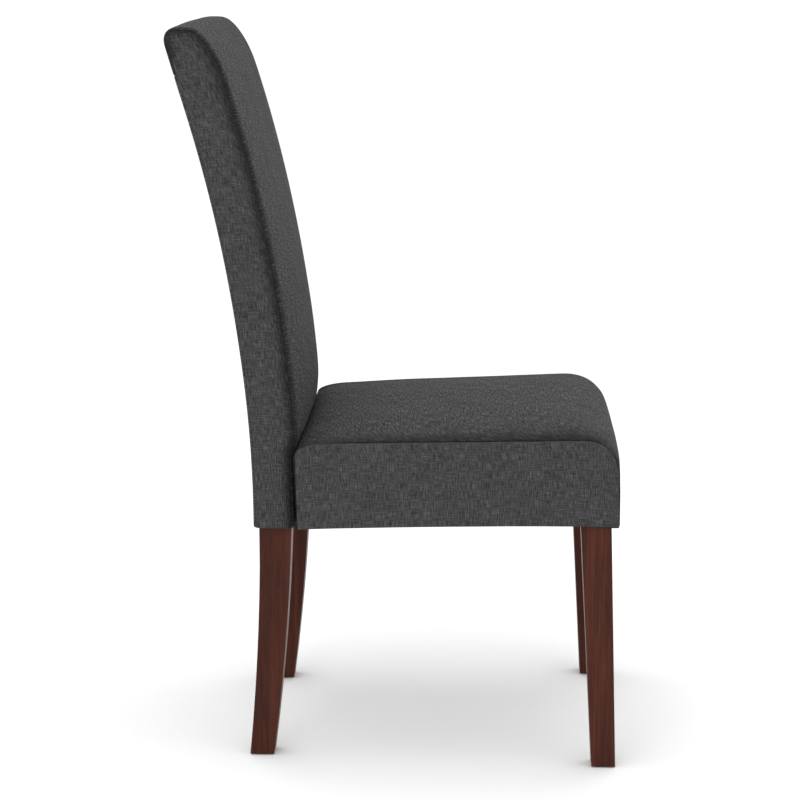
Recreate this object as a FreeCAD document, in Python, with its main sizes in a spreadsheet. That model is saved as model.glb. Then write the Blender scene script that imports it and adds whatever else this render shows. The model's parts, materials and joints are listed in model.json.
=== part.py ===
# Parsons chair: upholstered back on two rear legs that run up as its posts, a box seat with a
# crowned cushion, and two tapered front legs.
#
# Frame: origin on the floor under the middle of the chair, +Z up, the chair faces -Y, and +X is
# to the right of someone who looks at the chair from the front. Millimetres and degrees.
#
# The seat is level in a frame of its own: its origin is in the middle of the rear lower edge of
# the seat, on the plane where seat and back meet, and the whole frame leans back by seat_tilt.
# There, "forward" is the distance in front of that plane, and "height" is over the underside.
#
# The back follows an arc. "depth" is the distance in from its rear face, square to it.

import FreeCAD, Part

import math
import os

import Sketcher
from FreeCAD import Placement, Rotation, Vector

doc = FreeCAD.newDocument("ParsonsChair")

SIZES = [
    ("overall_height", 998, "floor to the top of the back"),
    ("rear_legs_across", 373, "over the outer faces of the rear legs"),
    ("rear_leg_width", 34, "rear leg from side to side"),
    ("rear_leg_depth", 44.3, "rear leg from front to rear, in the back"),
    ("rear_foot_depth", 33, "rear leg from front to rear, at the foot"),
    ("rear_foot_kick", 16, "how far the rear foot runs out behind the post"),
    ("rear_leg_curve", 3250, "radius of the lower rear leg"),
    ("rear_leg_curve_top", 270, "height at which the rear edge of the rear leg turns upright"),
    ("post_top_gap", 34, "top of the posts to the top of the back"),
    ("front_leg_width", 41, "front leg, both ways, in the seat"),
    ("front_foot_width", 32.5, "front leg, both ways, at the foot"),
    ("front_leg_splay", 1.8, "how far the front foot stands in front of the leg's top"),
    ("glide_diameter", 22, "floor glide"),
    ("glide_height", 2, "floor glide"),
    ("nail_diameter", 2.4, "nail of the floor glide"),
    ("nail_length", 16, "nail of the floor glide"),
    ("back_bottom", 330.5, "floor to the underside of the back"),
    ("back_width", 410, "over the cover of the back"),
    ("back_thickness", 64.5, "back, above the seat"),
    ("back_base_thickness", 56.5, "back, behind the seat"),
    ("back_curve", 1940, "radius of the rear face of the back"),
    ("back_curve_rise", 574, "height of the curved stretch of the back"),
    ("back_corner", 12, "corner radius of the back, seen from above"),
    ("back_bulge_start", 448, "height at which the back's foam comes forward over the seat"),
    ("back_bulge_rise", 30, "height over which the foam comes forward"),
    ("lumbar_height", 500, "height of the fullest part of the back's foam"),
    ("lumbar_crown", 12, "crown of the back's front face at the lumbar height"),
    ("upper_crown", 4, "crown of the back's front face near the top"),
    ("back_top_rear_round", 20, "rounding of the top edge, rear"),
    ("back_top_front_round", 35, "rounding of the top edge, front"),
    ("back_top_side_round", 9, "rounding of the top edge, sides"),
    ("back_bottom_round", 7, "rounding of the lower edge of the back"),
    ("cover_thickness", 1.6, "woven cover"),
    ("rear_wadding", 2.4, "wadding behind the rear board"),
    ("rear_board", 3, "board across the rear of the posts"),
    ("rear_seam_height", 935, "height of the seam across the rear of the back"),
    ("seam_inset", 4, "seam of the covers, in from the side face"),
    ("seam_round", 44, "radius at which the seam of the seat turns down at the front"),
    ("rail_thickness", 28, "rails of the back frame"),
    ("top_rail_height", 70, "top rail of the back"),
    ("lumbar_rail_height", 55, "lumbar rail of the back"),
    ("lumbar_rail_lift", 120, "floor side of the lumbar rail, over the underside of the back"),
    ("bottom_rail_height", 92, "bottom rail of the back"),
    ("bottom_rail_lift", 6, "floor side of the bottom rail, over the underside of the back"),
    ("dowel_diameter", 10, "dowels"),
    ("dowel_length", 50, "dowels"),
    ("short_dowel_length", 35, "dowels that end in the side of a rail"),
    ("dowel_spacing", 34, "two dowels of one joint, centre to centre"),
    ("back_strap_width", 50, "webbing of the back"),
    ("back_strap_pitch", 82, "webbing of the back, centre to centre"),
    ("strap_thickness", 1.4, "elastic webbing"),
    ("strap_end", 3, "end of a strap, in from the outer edge of what it is nailed to"),
    ("seat_bottom", 331.5, "floor to the underside of the seat, at its rear edge"),
    ("seat_tilt", 1.5, "seat frame leans back"),
    ("seat_depth", 437.5, "seat from the back to its front"),
    ("seat_front_width", 461, "over the cover, front"),
    ("seat_rear_width", 432, "over the cover, rear"),
    ("seat_side_height", 117, "underside to the seam"),
    ("seat_crown", 28, "seam to the top of the cushion"),
    ("seat_rise", 2, "the crown rises to the front by this angle more than the frame"),
    ("seat_corner", 9, "corner radius of the seat, seen from above"),
    ("seat_front_round_depth", 73, "rounded front edge, front to rear"),
    ("seat_front_round_height", 85, "rounded front edge, upwards"),
    ("seat_rear_round_depth", 70, "rounded rear edge of the cushion, front to rear"),
    ("seat_rear_round_height", 25, "rounded rear edge of the cushion, upwards"),
    ("seat_bottom_round", 7, "rounding of the lower edge of the seat"),
    ("side_bulge", 2, "how far a stuffed side stands out between its ends"),
    ("soft_gap", 0.9, "seat to back, where they are closest"),
    ("cover_gap", 0.3, "cover to the frame that it is pulled over"),
    ("fill_gap", 0.2, "foam and padding to the frame and the webbing"),
    ("side_padding", 10, "cover's outside to the frame, at the sides of the seat"),
    ("front_padding", 12.7, "cover's outside to the front legs"),
    ("seat_rail_thickness", 22, "rails of the seat frame"),
    ("seat_rail_height", 90, "rails of the seat frame"),
    ("rail_setback", 3, "front rail behind the front of the legs"),
    ("hem_width", 24, "cover turned under the seat"),
    ("corner_block_reach", 58, "corner block along each rail"),
    ("corner_block_height", 52, "corner block"),
    ("screw_diameter", 4.5, "corner block screws"),
    ("screw_length", 62, "corner block screws"),
    ("screw_spacing", 16, "two screws of one corner block, centre to centre"),
    ("screw_head_diameter", 9, "corner block screws"),
    ("screw_head_height", 3, "corner block screws"),
    ("bolt_diameter", 8, "bolts between seat and back"),
    ("bolt_across", 228, "bolts, left to right"),
    ("bolt_low", 28, "lower bolts over the underside of the seat"),
    ("bolt_high", 72, "upper bolts over the underside of the seat"),
    ("bolt_grip", 52, "bolt from under its head to its tip"),
    ("bolt_head_width", 13, "bolt head across the flats"),
    ("bolt_head_height", 5.3, "bolt head"),
    ("washer_diameter", 18, "bolt washer"),
    ("washer_thickness", 1.6, "bolt washer"),
    ("insert_diameter", 12, "threaded insert"),
    ("insert_length", 15, "threaded insert"),
    ("insert_sink", 3, "threaded insert under the face of its rail"),
    ("seat_strap_width", 50, "webbing of the seat"),
    ("long_straps", 4, "lengthwise straps"),
    ("long_strap_pitch", 84, "lengthwise webbing, centre to centre"),
    ("cross_straps", 4, "crosswise straps"),
    ("cross_strap_pitch", 86, "crosswise webbing, centre to centre"),
    ("cross_strap_start", 54, "middle of the first crosswise strap, from its rail"),
    ("seat_wadding", 6, "wadding over the seat foam"),
    ("dust_cover_thickness", 0.8, "cloth under the seat and the back"),
    ("dust_cover_inset", 12, "dust cover from the side of the seat"),
    ("dust_cover_notch", 1, "dust cover to the front legs"),
    ("staple_width", 10, "staples of the dust cover"),
    ("staple_wire", 0.8, "staples of the dust cover"),
    ("staple_leg", 7, "staples of the dust cover"),
    ("staple_pitch", 56, "staples of the dust cover, centre to centre"),
    ("staple_edge", 7, "staples in from the edge of the dust cover"),
    ("staple_end", 20, "a row of staples to the corner or the leg that ends it"),
]

LEFT = -1
RIGHT = 1
SIDES = [("left", LEFT), ("right", RIGHT)]


class Size:
    """A length, angle or number with its value and its formula in the sheet."""

    def __init__(self, value, text):
        self.value = value
        self.text = text

    def __float__(self):
        return float(self.value)

    def __add__(self, other):
        other = sized(other)
        return Size(self.value + other.value, f"({self.text} + {other.text})")

    def __sub__(self, other):
        other = sized(other)
        return Size(self.value - other.value, f"({self.text} - {other.text})")

    def __mul__(self, other):
        other = sized(other)
        return Size(self.value * other.value, f"({self.text} * {other.text})")

    def __truediv__(self, other):
        other = sized(other)
        return Size(self.value / other.value, f"({self.text} / {other.text})")

    def __neg__(self):
        return self * -1

    def __rmul__(self, other):
        return sized(other) * self

    def __rsub__(self, other):
        return sized(other) - self


def sized(number):
    if isinstance(number, Size):
        return number
    return Size(float(number), f"({number})")


def root(size):
    return Size(math.sqrt(size.value), f"sqrt({size.text})")


def cosine(size):
    return Size(math.cos(math.radians(size.value)), f"cos({size.text} * 1 deg)")


def sine(size):
    return Size(math.sin(math.radians(size.value)), f"sin({size.text} * 1 deg)")


def fill_sheet():
    sheet = doc.addObject("Spreadsheet::Sheet", "Sizes")
    for row, (alias, value, note) in enumerate(SIZES, start=1):
        sheet.set(f"A{row}", alias)
        sheet.set(f"B{row}", str(value))
        sheet.set(f"C{row}", note)
        sheet.setAlias(f"B{row}", alias)
    doc.recompute()
    return sheet


class Sheet:
    """The sheet's sizes as attributes."""

    def __init__(self, sheet):
        for alias, _, _ in SIZES:
            setattr(self, alias, Size(float(sheet.get(alias)), f"Sizes.{alias}"))


S = Sheet(fill_sheet())
kept = {}

# Places in the chair's frame
arc_sine = S.back_curve_rise / S.back_curve
arc_cosine = root(1 - arc_sine * arc_sine)
arc_tangent = arc_sine / arc_cosine
arc_reach = S.back_curve * (1 - arc_cosine)
top_fall = S.back_top_rear_round * (1 - arc_sine)
top_draw = S.back_top_rear_round * (1 - arc_cosine)
rear_reach = arc_reach - top_draw + arc_tangent * (
    S.overall_height - S.back_bottom - S.back_curve_rise - top_fall)
lean_gap = S.back_curve * (1 - cosine(S.seat_tilt))
foot_gap = S.back_base_thickness + S.soft_gap + lean_gap
front_reach = foot_gap + (S.seat_depth + S.side_bulge) * cosine(S.seat_tilt)
back_face = (front_reach - rear_reach) / 2
contact = back_face - foot_gap
post_depth = S.cover_thickness + S.rear_wadding + S.rear_board
post_front = post_depth + S.rear_leg_depth
post_inner = S.rear_legs_across / 2 - S.rear_leg_width
post_top = S.overall_height - S.post_top_gap

# Places in the seat's frame
seat_slope = (S.seat_front_width - S.seat_rear_width) / 2 / S.seat_depth
leg_front = S.seat_depth - S.front_padding
leg_rear = leg_front - S.front_leg_width
rail_rear = S.cover_thickness + S.cover_gap
rail_bottom = S.cover_thickness + S.cover_gap
rail_top = rail_bottom + S.seat_rail_height
strap_top = rail_top + S.strap_thickness * 2
front_rail_front = leg_front - S.rail_setback
front_rail_rear = front_rail_front - S.seat_rail_thickness
rear_rail_front = rail_rear + S.seat_rail_thickness
block_bottom = rail_bottom + (S.seat_rail_height - S.corner_block_height) / 2


def rail_outside(forward):
    return S.seat_rear_width / 2 - S.side_padding + seat_slope * forward


def rail_inside(forward):
    return rail_outside(forward) - S.seat_rail_thickness


leg_outside = rail_outside(leg_front)
leg_inside = leg_outside - S.front_leg_width


def lift_to(height, depth):
    """How far beyond the arc's end, along the back, a depth reaches a height."""
    return (height - S.back_bottom - (S.back_curve + depth) * arc_sine) / arc_cosine


def back_point(depth, rise=None, lift=None):
    """Y and Z at a depth in the back: at the foot of its arc, at a share of it, or above it."""
    radius = S.back_curve + depth
    centre = back_face + S.back_curve
    if rise is None and lift is None:
        return back_face - depth, S.back_bottom
    if lift is None:
        share = arc_sine * rise
        return centre - radius * root(1 - share * share), S.back_bottom + radius * share
    return (centre - radius * arc_cosine + lift * arc_sine,
            S.back_bottom + radius * arc_sine + lift * arc_cosine)


# Helpers for bodies
def bind(thing, prop, size):
    thing.setExpression(prop, sized(size).text)


def keep(label, thing):
    thing.Label = label
    kept[label] = thing
    return thing


def new_body(name):
    body = doc.addObject("PartDesign::Body", name)
    body.Label = name
    if hasattr(body, "AllowCompound"):
        body.AllowCompound = True
    return body


def on_seat(thing):
    """Puts a piece that is drawn in the seat's frame where the seat is."""
    bind(thing, "Placement.Base.y", contact)
    bind(thing, "Placement.Base.z", S.seat_bottom)
    thing.Placement = Placement(Vector(0, 0, 0), Rotation(Vector(1, 0, 0), -1))
    bind(thing, "Placement.Rotation.Angle", -S.seat_tilt)
    return thing


def new_sketch(body, plane, offset):
    sketch = body.newObject("Sketcher::SketchObject", body.Name + "_sketch")
    origin = [part for part in body.Origin.OriginFeatures if part.Role == plane][0]
    sketch.AttachmentSupport = [(origin, "")]
    sketch.MapMode = "FlatFace"
    bind(sketch, "AttachmentOffset.Base.z", offset)
    return sketch


def pin(sketch, geometry, end, place):
    """Ties a point of a sketch to its place."""
    for kind, size in zip(("DistanceX", "DistanceY"), place):
        size = sized(size)
        number = sketch.addConstraint(
            Sketcher.Constraint(kind, -1, 1, geometry, end, size.value))
        sketch.setExpression(f"Constraints[{number}]", size.text)


def arc_through(start, end, radius):
    """An arc of under a half circle that bulges to the left of the way from start to end."""
    chord = end - start
    left = Vector(-chord.y, chord.x, 0).normalize()
    flat = math.sqrt(radius ** 2 - (chord.Length / 2) ** 2)
    middle = start + chord * 0.5 + left * (radius - flat)
    return Part.Arc(start, middle, end)


def draw_outline(sketch, corners):
    """Lines from corner to corner. A corner with a third value starts an arc of that radius:
    it bulges to the left of its way, or to the right where the radius is negative."""
    first = sketch.GeometryCount
    places = [Vector(float(corner[0]), float(corner[1]), 0) for corner in corners]
    ends = []
    for index, corner in enumerate(corners):
        start = places[index]
        end = places[(index + 1) % len(corners)]
        if len(corner) == 2:
            number = sketch.addGeometry(Part.LineSegment(start, end))
            ends.append((number, 1, 2))
            continue
        radius = float(corner[2])
        if radius < 0:
            arc = arc_through(end, start, -radius)
        else:
            arc = arc_through(start, end, radius)
        number = sketch.addGeometry(arc)
        begins = sketch.getPoint(number, 1)
        backward = (begins - start).Length > (begins - end).Length
        ends.append((number, 2, 1) if backward else (number, 1, 2))
    for index, (number, begin, _) in enumerate(ends):
        previous, _, finish = ends[index - 1]
        sketch.addConstraint(Sketcher.Constraint("Coincident", previous, finish, number, begin))
        pin(sketch, number, begin, corners[index][:2])
    for index, corner in enumerate(corners):
        if len(corner) == 3:
            size = corner[2] if float(corner[2]) > 0 else -corner[2]
            rule = Sketcher.Constraint("Radius", first + index, size.value)
            sketch.setExpression(f"Constraints[{sketch.addConstraint(rule)}]", size.text)


def draw_circles(sketch, centres, *diameters):
    for centre in centres:
        for diameter in diameters:
            diameter = sized(diameter)
            middle = Vector(float(centre[0]), float(centre[1]), 0)
            circle = Part.Circle(middle, Vector(0, 0, 1), diameter.value / 2)
            number = sketch.addGeometry(circle)
            pin(sketch, number, 3, centre)
            rule = Sketcher.Constraint("Diameter", number, diameter.value)
            sketch.setExpression(f"Constraints[{sketch.addConstraint(rule)}]", diameter.text)


def pad(body, sketch, length, both_ways=False):
    feature = body.newObject("PartDesign::Pad", body.Name + "_pad")
    feature.Profile = sketch
    if both_ways:
        feature.Midplane = True
    bind(feature, "Length", length)
    sketch.Visibility = False
    return feature


def prism(body, plane, corners, length, offset=0, both_ways=False):
    sketch = new_sketch(body, plane, offset)
    draw_outline(sketch, corners)
    return pad(body, sketch, length, both_ways)


def rods(body, plane, centres, diameters, length, offset=0, both_ways=False):
    sketch = new_sketch(body, plane, offset)
    draw_circles(sketch, centres, *diameters)
    return pad(body, sketch, length, both_ways)


def mirrored(side, corners):
    return [(side * corner[0],) + tuple(corner[1:]) for corner in corners]


# Wooden frame
def rear_leg(side):
    """Foot, swept leg and post of the back in one piece."""
    top_lift = lift_to(post_top, post_depth)
    rear_y, bottom = back_point(post_depth)
    front_y, _ = back_point(post_front)
    foot_y = rear_y + S.rear_foot_kick
    arc_rear = back_point(post_depth, rise=1)
    arc_front = back_point(post_front, rise=1)
    top_rear = back_point(post_depth, lift=top_lift)
    top_front = back_point(post_front, lift=top_lift)
    corners = [
        (foot_y, S.glide_height, S.rear_leg_curve),
        (rear_y, S.rear_leg_curve_top),
        (rear_y, bottom, S.back_curve + post_depth),
        arc_rear,
        top_rear,
        top_front,
        (*arc_front, -(S.back_curve + post_front)),
        (front_y, bottom, -S.rear_leg_curve),
        (foot_y - S.rear_foot_depth, S.glide_height),
    ]
    body = new_body("rear_leg_blank")
    middle = side * (S.rear_legs_across / 2 - S.rear_leg_width / 2)
    prism(body, "YZ_Plane", corners, S.rear_leg_width, offset=middle, both_ways=True)
    return body


def floor_height(forward):
    """Height, in the seat's frame, of the top of a glide under a point of the seat."""
    drop = S.seat_bottom - S.glide_height + forward * sine(S.seat_tilt)
    return -(drop / cosine(S.seat_tilt))


def front_leg(side):
    """Square in the seat, tapered below it on its rear and inner faces."""
    foot_front = leg_front + S.front_leg_splay
    foot_rear = foot_front - S.front_foot_width
    corners = [
        (-foot_front, floor_height(foot_front)),
        (-leg_front, sized(0)),
        (-leg_front, rail_top),
        (-leg_rear, rail_top),
        (-leg_rear, sized(0)),
        (-foot_rear, floor_height(foot_rear)),
    ]
    body = new_body("front_leg_blank")
    middle = side * (leg_outside - S.front_leg_width / 2)
    prism(body, "YZ_Plane", corners, S.front_leg_width, offset=middle, both_ways=True)
    low = floor_height(foot_front) - S.glide_height
    taper = (S.front_leg_width - S.front_foot_width) * (low / floor_height(foot_front))
    wedge = mirrored(side, [
        (leg_inside, sized(0)),
        (leg_inside + taper, low),
        (leg_inside - S.front_leg_width, low),
        (leg_inside - S.front_leg_width, sized(0)),
    ])
    sketch = new_sketch(body, "XZ_Plane", leg_front)
    draw_outline(sketch, wedge)
    pocket = body.newObject("PartDesign::Pocket", "front_leg_taper")
    pocket.Profile = sketch
    pocket.Midplane = True
    bind(pocket, "Length", S.front_leg_width * 4)
    return on_seat(body)


def back_rail(name, corners):
    body = new_body(name)
    prism(body, "YZ_Plane", corners, post_inner * 2, both_ways=True)
    return body


def top_rail():
    near = post_depth
    far = post_depth + S.rail_thickness
    high = lift_to(post_top, post_depth)
    low = high - S.top_rail_height
    return back_rail("top_rail_blank", [
        back_point(near, lift=low), back_point(near, lift=high),
        back_point(far, lift=high), back_point(far, lift=low)])


def rise_share(height):
    """The share of the back's arc that ends at a height."""
    return (height - S.back_bottom) / S.back_curve_rise


def lumbar_rail():
    low = rise_share(S.back_bottom + S.lumbar_rail_lift)
    high = rise_share(S.back_bottom + S.lumbar_rail_lift + S.lumbar_rail_height)
    near = post_depth
    far = post_depth + S.rail_thickness
    return back_rail("lumbar_rail_blank", [
        back_point(near, rise=low), back_point(near, rise=high),
        back_point(far, rise=high), back_point(far, rise=low)])


def bottom_rail():
    low = S.back_bottom + S.bottom_rail_lift
    high = low + S.bottom_rail_height
    front = back_face - post_front
    rear = front + S.rail_thickness
    return back_rail("bottom_rail_blank", [(rear, low), (rear, high), (front, high), (front, low)])


def seat_prism(name, corners, low, height):
    """A piece of the seat frame, drawn from above and raised."""
    body = new_body(name)
    flipped = [(corner[0], -corner[1]) for corner in corners]
    prism(body, "XY_Plane", flipped, height, offset=low)
    return on_seat(body)


def side_rail(side):
    return seat_prism("side_rail_blank", mirrored(side, [
        (rail_outside(rail_rear), rail_rear), (rail_outside(leg_rear), leg_rear),
        (rail_inside(leg_rear), leg_rear), (rail_inside(rail_rear), rail_rear),
    ]), rail_bottom, S.seat_rail_height)


def rear_rail():
    return seat_prism("rear_rail_blank", [
        (rail_inside(rail_rear), rail_rear), (rail_inside(rear_rail_front), rear_rail_front),
        (-rail_inside(rear_rail_front), rear_rail_front), (-rail_inside(rail_rear), rail_rear),
    ], rail_bottom, S.seat_rail_height)


def front_rail():
    return seat_prism("front_rail_blank", [
        (leg_inside, front_rail_front), (leg_inside, front_rail_rear),
        (-leg_inside, front_rail_rear), (-leg_inside, front_rail_front),
    ], rail_bottom, S.seat_rail_height)


def rear_block(side):
    reach = rear_rail_front + S.corner_block_reach
    corner = rail_inside(rear_rail_front)
    return seat_prism("rear_block_blank", mirrored(side, [
        (corner, rear_rail_front), (rail_inside(reach), reach),
        (corner - S.corner_block_reach, rear_rail_front),
    ]), block_bottom, S.corner_block_height)


def front_block(side):
    """Fits round the inner corner of the leg, from the front rail to the side rail."""
    along = leg_rear - S.corner_block_reach
    return seat_prism("front_block_blank", mirrored(side, [
        (leg_inside, front_rail_rear), (leg_inside, leg_rear), (rail_inside(leg_rear), leg_rear),
        (rail_inside(along), along), (leg_inside - S.corner_block_reach, front_rail_rear),
    ]), block_bottom, S.corner_block_height)


# Dowels, screws and bolts
def dowel_heights(low, height):
    middle = low + height / 2
    return [middle - S.dowel_spacing / 2, middle + S.dowel_spacing / 2]


def back_dowels():
    """Two dowels through each end of each rail into the post."""
    middle = post_depth + S.rail_thickness / 2
    centres = []
    top_rail_foot = lift_to(post_top, post_depth) - S.top_rail_height
    for lift in dowel_heights(top_rail_foot, S.top_rail_height):
        centres.append(back_point(middle, lift=lift))
    lumbar_middle = S.back_bottom + S.lumbar_rail_lift + S.lumbar_rail_height / 2
    for step in (-1, 1):
        height = lumbar_middle + S.dowel_spacing / 2 * step
        centres.append(back_point(middle, rise=rise_share(height)))
    for height in dowel_heights(S.back_bottom + S.bottom_rail_lift, S.bottom_rail_height):
        centres.append((back_face - post_front + S.rail_thickness / 2, height))
    body = new_body("back_rail_dowels")
    for _, side in SIDES:
        rods(body, "YZ_Plane", centres, [S.dowel_diameter], S.dowel_length,
             offset=side * post_inner, both_ways=True)
    return body


def seat_dowels():
    """Side rails and front rail into the front legs, rear rail into the side rails."""
    body = new_body("seat_rail_dowels")
    heights = dowel_heights(rail_bottom, S.seat_rail_height)
    across = [(front_rail_front - S.seat_rail_thickness / 2, leg_inside),
              (rail_rear + S.seat_rail_thickness / 2,
               rail_inside(rail_rear + S.seat_rail_thickness / 2))]
    for _, side in SIDES:
        for forward, reach in across:
            centres = [(-forward, height) for height in heights]
            rods(body, "YZ_Plane", centres, [S.dowel_diameter], S.short_dowel_length,
                 offset=side * reach, both_ways=True)
        middle = rail_outside(leg_rear) - S.seat_rail_thickness / 2
        centres = [(side * middle, height) for height in heights]
        rods(body, "XZ_Plane", centres, [S.dowel_diameter], S.dowel_length,
             offset=leg_rear, both_ways=True)
    return on_seat(body)


def block_faces():
    """The two ends, as X and forward, of the long face of each corner block."""
    rear_reach = rear_rail_front + S.corner_block_reach
    front_reach = leg_rear - S.corner_block_reach
    rear = [(rail_inside(rear_reach), rear_reach),
            (rail_inside(rear_rail_front) - S.corner_block_reach, rear_rail_front)]
    front = [(rail_inside(front_reach), front_reach),
             (leg_inside - S.corner_block_reach, front_rail_rear)]
    return [(side, ends) for _, side in SIDES for ends in (rear, front)]


def block_screws():
    """Two screws through the long face of each corner block, square to it."""
    shapes = []
    middle = block_bottom + S.corner_block_height / 2
    heights = [float(middle + S.screw_spacing / 2 * step) for step in (-1, 1)]
    for side, ends in block_faces():
        one, two = [Vector(side * float(x), -float(forward), 0) for x, forward in ends]
        along = two - one
        inward = Vector(-along.y, along.x, 0).normalize()
        if inward.x * side < 0:
            inward = inward * -1
        for height in heights:
            start = (one + two) * 0.5 + Vector(0, 0, height)
            shank = Part.makeCylinder(
                float(S.screw_diameter) / 2, float(S.screw_length), start, inward)
            head = Part.makeCylinder(
                float(S.screw_head_diameter) / 2, float(S.screw_head_height), start, inward)
            shapes.append(shank.fuse(head).removeSplitter())
    thing = doc.addObject("Part::Feature", "corner_block_screws")
    thing.Shape = Part.makeCompound(shapes)
    return on_seat(thing)


def bolt_places():
    reach = S.bolt_across / 2
    return [(side * reach, height) for _, side in SIDES for height in (S.bolt_low, S.bolt_high)]


def seat_bolts():
    """From inside the seat, through its rear rail, into the bottom rail of the back."""
    body = new_body("seat_bolts")
    under_head = rear_rail_front + S.washer_thickness
    rods(body, "XZ_Plane", bolt_places(), [S.bolt_diameter], S.bolt_grip,
         offset=under_head - S.bolt_grip)
    half = S.bolt_head_width / 2
    point = half * 2 / math.sqrt(3)
    for x, height in bolt_places():
        hexagon = [(x + point * along, height + half * up) for along, up in (
            (1, 0), (0.5, 1), (-0.5, 1), (-1, 0), (-0.5, -1), (0.5, -1))]
        prism(body, "XZ_Plane", hexagon, S.bolt_head_height, offset=under_head)
    return on_seat(body)


def bolt_washers():
    body = new_body("seat_bolt_washers")
    rods(body, "XZ_Plane", bolt_places(), [S.washer_diameter, S.bolt_diameter],
         S.washer_thickness, offset=rear_rail_front)
    return on_seat(body)


def threaded_inserts():
    """Their front ends lie under the front face of the bottom rail."""
    body = new_body("threaded_inserts")
    rail_face = foot_gap - post_front
    start = -(rail_face + S.insert_sink + S.insert_length)
    rods(body, "XZ_Plane", bolt_places(), [S.insert_diameter, S.bolt_diameter],
         S.insert_length, offset=start)
    return on_seat(body)


def feet():
    """Middle of each foot."""
    rear_y = back_face - post_depth + S.rear_foot_kick - S.rear_foot_depth / 2
    rear_x = S.rear_legs_across / 2 - S.rear_leg_width / 2
    forward = leg_front + S.front_leg_splay - S.front_foot_width / 2
    height = floor_height(forward)
    front_y = contact - forward * cosine(S.seat_tilt) + height * sine(S.seat_tilt)
    front_x = leg_outside - S.front_foot_width / 2
    return [("rear", rear_x, rear_y), ("front", front_x, front_y)]


def floor_glide(x, y):
    body = new_body("floor_glide")
    rods(body, "XY_Plane", [(x, y)], [S.glide_diameter], S.glide_height)
    rods(body, "XY_Plane", [(x, y)], [S.nail_diameter], S.nail_length,
         offset=S.glide_height)
    return body


# Webbing, board, dust cover and staples
def back_webbing():
    """Straps across the front of the posts."""
    body = new_body("back_webbing")
    count = int(round(float(S.back_curve_rise - S.lumbar_rail_lift) / float(S.back_strap_pitch)))
    half = S.back_strap_width / 2
    front = post_front + S.strap_thickness
    first = S.back_bottom + S.lumbar_rail_lift + S.lumbar_rail_height / 2
    reach = S.rear_legs_across / 2 - S.strap_end
    for number in range(count):
        middle = first + S.back_strap_pitch * number
        low = rise_share(middle - half)
        high = rise_share(middle + half)
        corners = [back_point(post_front, rise=low), back_point(post_front, rise=high),
                   back_point(front, rise=high), back_point(front, rise=low)]
        prism(body, "YZ_Plane", corners, reach * 2, both_ways=True)
    return body


def strap_count(size):
    return int(round(float(size)))


outer_strap = S.long_strap_pitch * (S.long_straps - 1) / 2


def long_webbing():
    """From the rear rail to the front rail."""
    body = new_body("seat_webbing_long")
    half = S.seat_strap_width / 2
    rear = rail_rear + S.strap_end
    front = front_rail_front - S.strap_end
    for number in range(strap_count(S.long_straps)):
        middle = S.long_strap_pitch * number - outer_strap
        corners = [(middle - half, -rear), (middle + half, -rear),
                   (middle + half, -front), (middle - half, -front)]
        prism(body, "XY_Plane", corners, S.strap_thickness, offset=rail_top)
    return on_seat(body)


def cross_webbing():
    """Over the lengthwise straps, with ends that step down to the side rails."""
    body = new_body("seat_webbing_cross")
    low = rail_top
    step = S.strap_thickness
    strap_span = outer_strap + S.seat_strap_width / 2 + S.strap_end
    first = rear_rail_front + S.cross_strap_start - S.seat_strap_width / 2
    for number in range(strap_count(S.cross_straps)):
        rear = first + S.cross_strap_pitch * number
        end = rail_outside(rear) - S.strap_end
        inner = rail_inside(rear)
        corners = [(end, low), (end, low + step), (inner, low + step),
                   (strap_span, low + step * 2), (-strap_span, low + step * 2),
                   (-inner, low + step), (-end, low + step), (-end, low),
                   (-inner, low), (-strap_span, low + step),
                   (strap_span, low + step), (inner, low)]
        prism(body, "XZ_Plane", corners, S.seat_strap_width, offset=rear)
    return on_seat(body)


def rear_board():
    """Stiff board across the rear faces of the posts."""
    near = S.cover_thickness + S.rear_wadding
    top_lift = lift_to(post_top, post_depth)
    body = new_body("back_rear_board")
    prism(body, "YZ_Plane", [
        (*back_point(near), S.back_curve + near),
        back_point(near, rise=1),
        back_point(near, lift=top_lift),
        back_point(post_depth, lift=top_lift),
        (*back_point(post_depth, rise=1), -(S.back_curve + post_depth)),
        back_point(post_depth),
    ], S.rear_legs_across, both_ways=True)
    return body


def dust_cover():
    """Black cloth under the seat, notched round the front legs."""
    inset = S.dust_cover_inset
    rear = inset
    front = S.seat_depth - inset
    notch = leg_rear - S.dust_cover_notch
    inner = leg_inside - S.dust_cover_notch
    side_rear = S.seat_rear_width / 2 - inset + seat_slope * rear
    side_notch = S.seat_rear_width / 2 - inset + seat_slope * notch
    corners = [(side_rear, rear), (side_notch, notch), (inner, notch), (inner, front)]
    corners += [(-x, forward) for x, forward in reversed(corners)]
    return seat_prism("seat_dust_cover", corners, -S.dust_cover_thickness, S.dust_cover_thickness)


def back_bottom_cloth():
    """Closes the underside of the back between the legs."""
    body = new_body("back_bottom_cloth")
    rear = back_face - post_depth
    front = back_face - post_front
    corners = [(post_inner, rear), (post_inner, front), (-post_inner, front), (-post_inner, rear)]
    low = S.back_bottom + S.bottom_rail_lift - S.dust_cover_thickness
    prism(body, "XY_Plane", corners, S.dust_cover_thickness, offset=low)
    return body


def staple_row(low, high):
    """Places between two ends, a pitch apart."""
    count = int(float(high - low) // float(S.staple_pitch))
    first = (low + high - S.staple_pitch * (count - 1)) / 2
    return [first + S.staple_pitch * number for number in range(count)]


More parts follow.
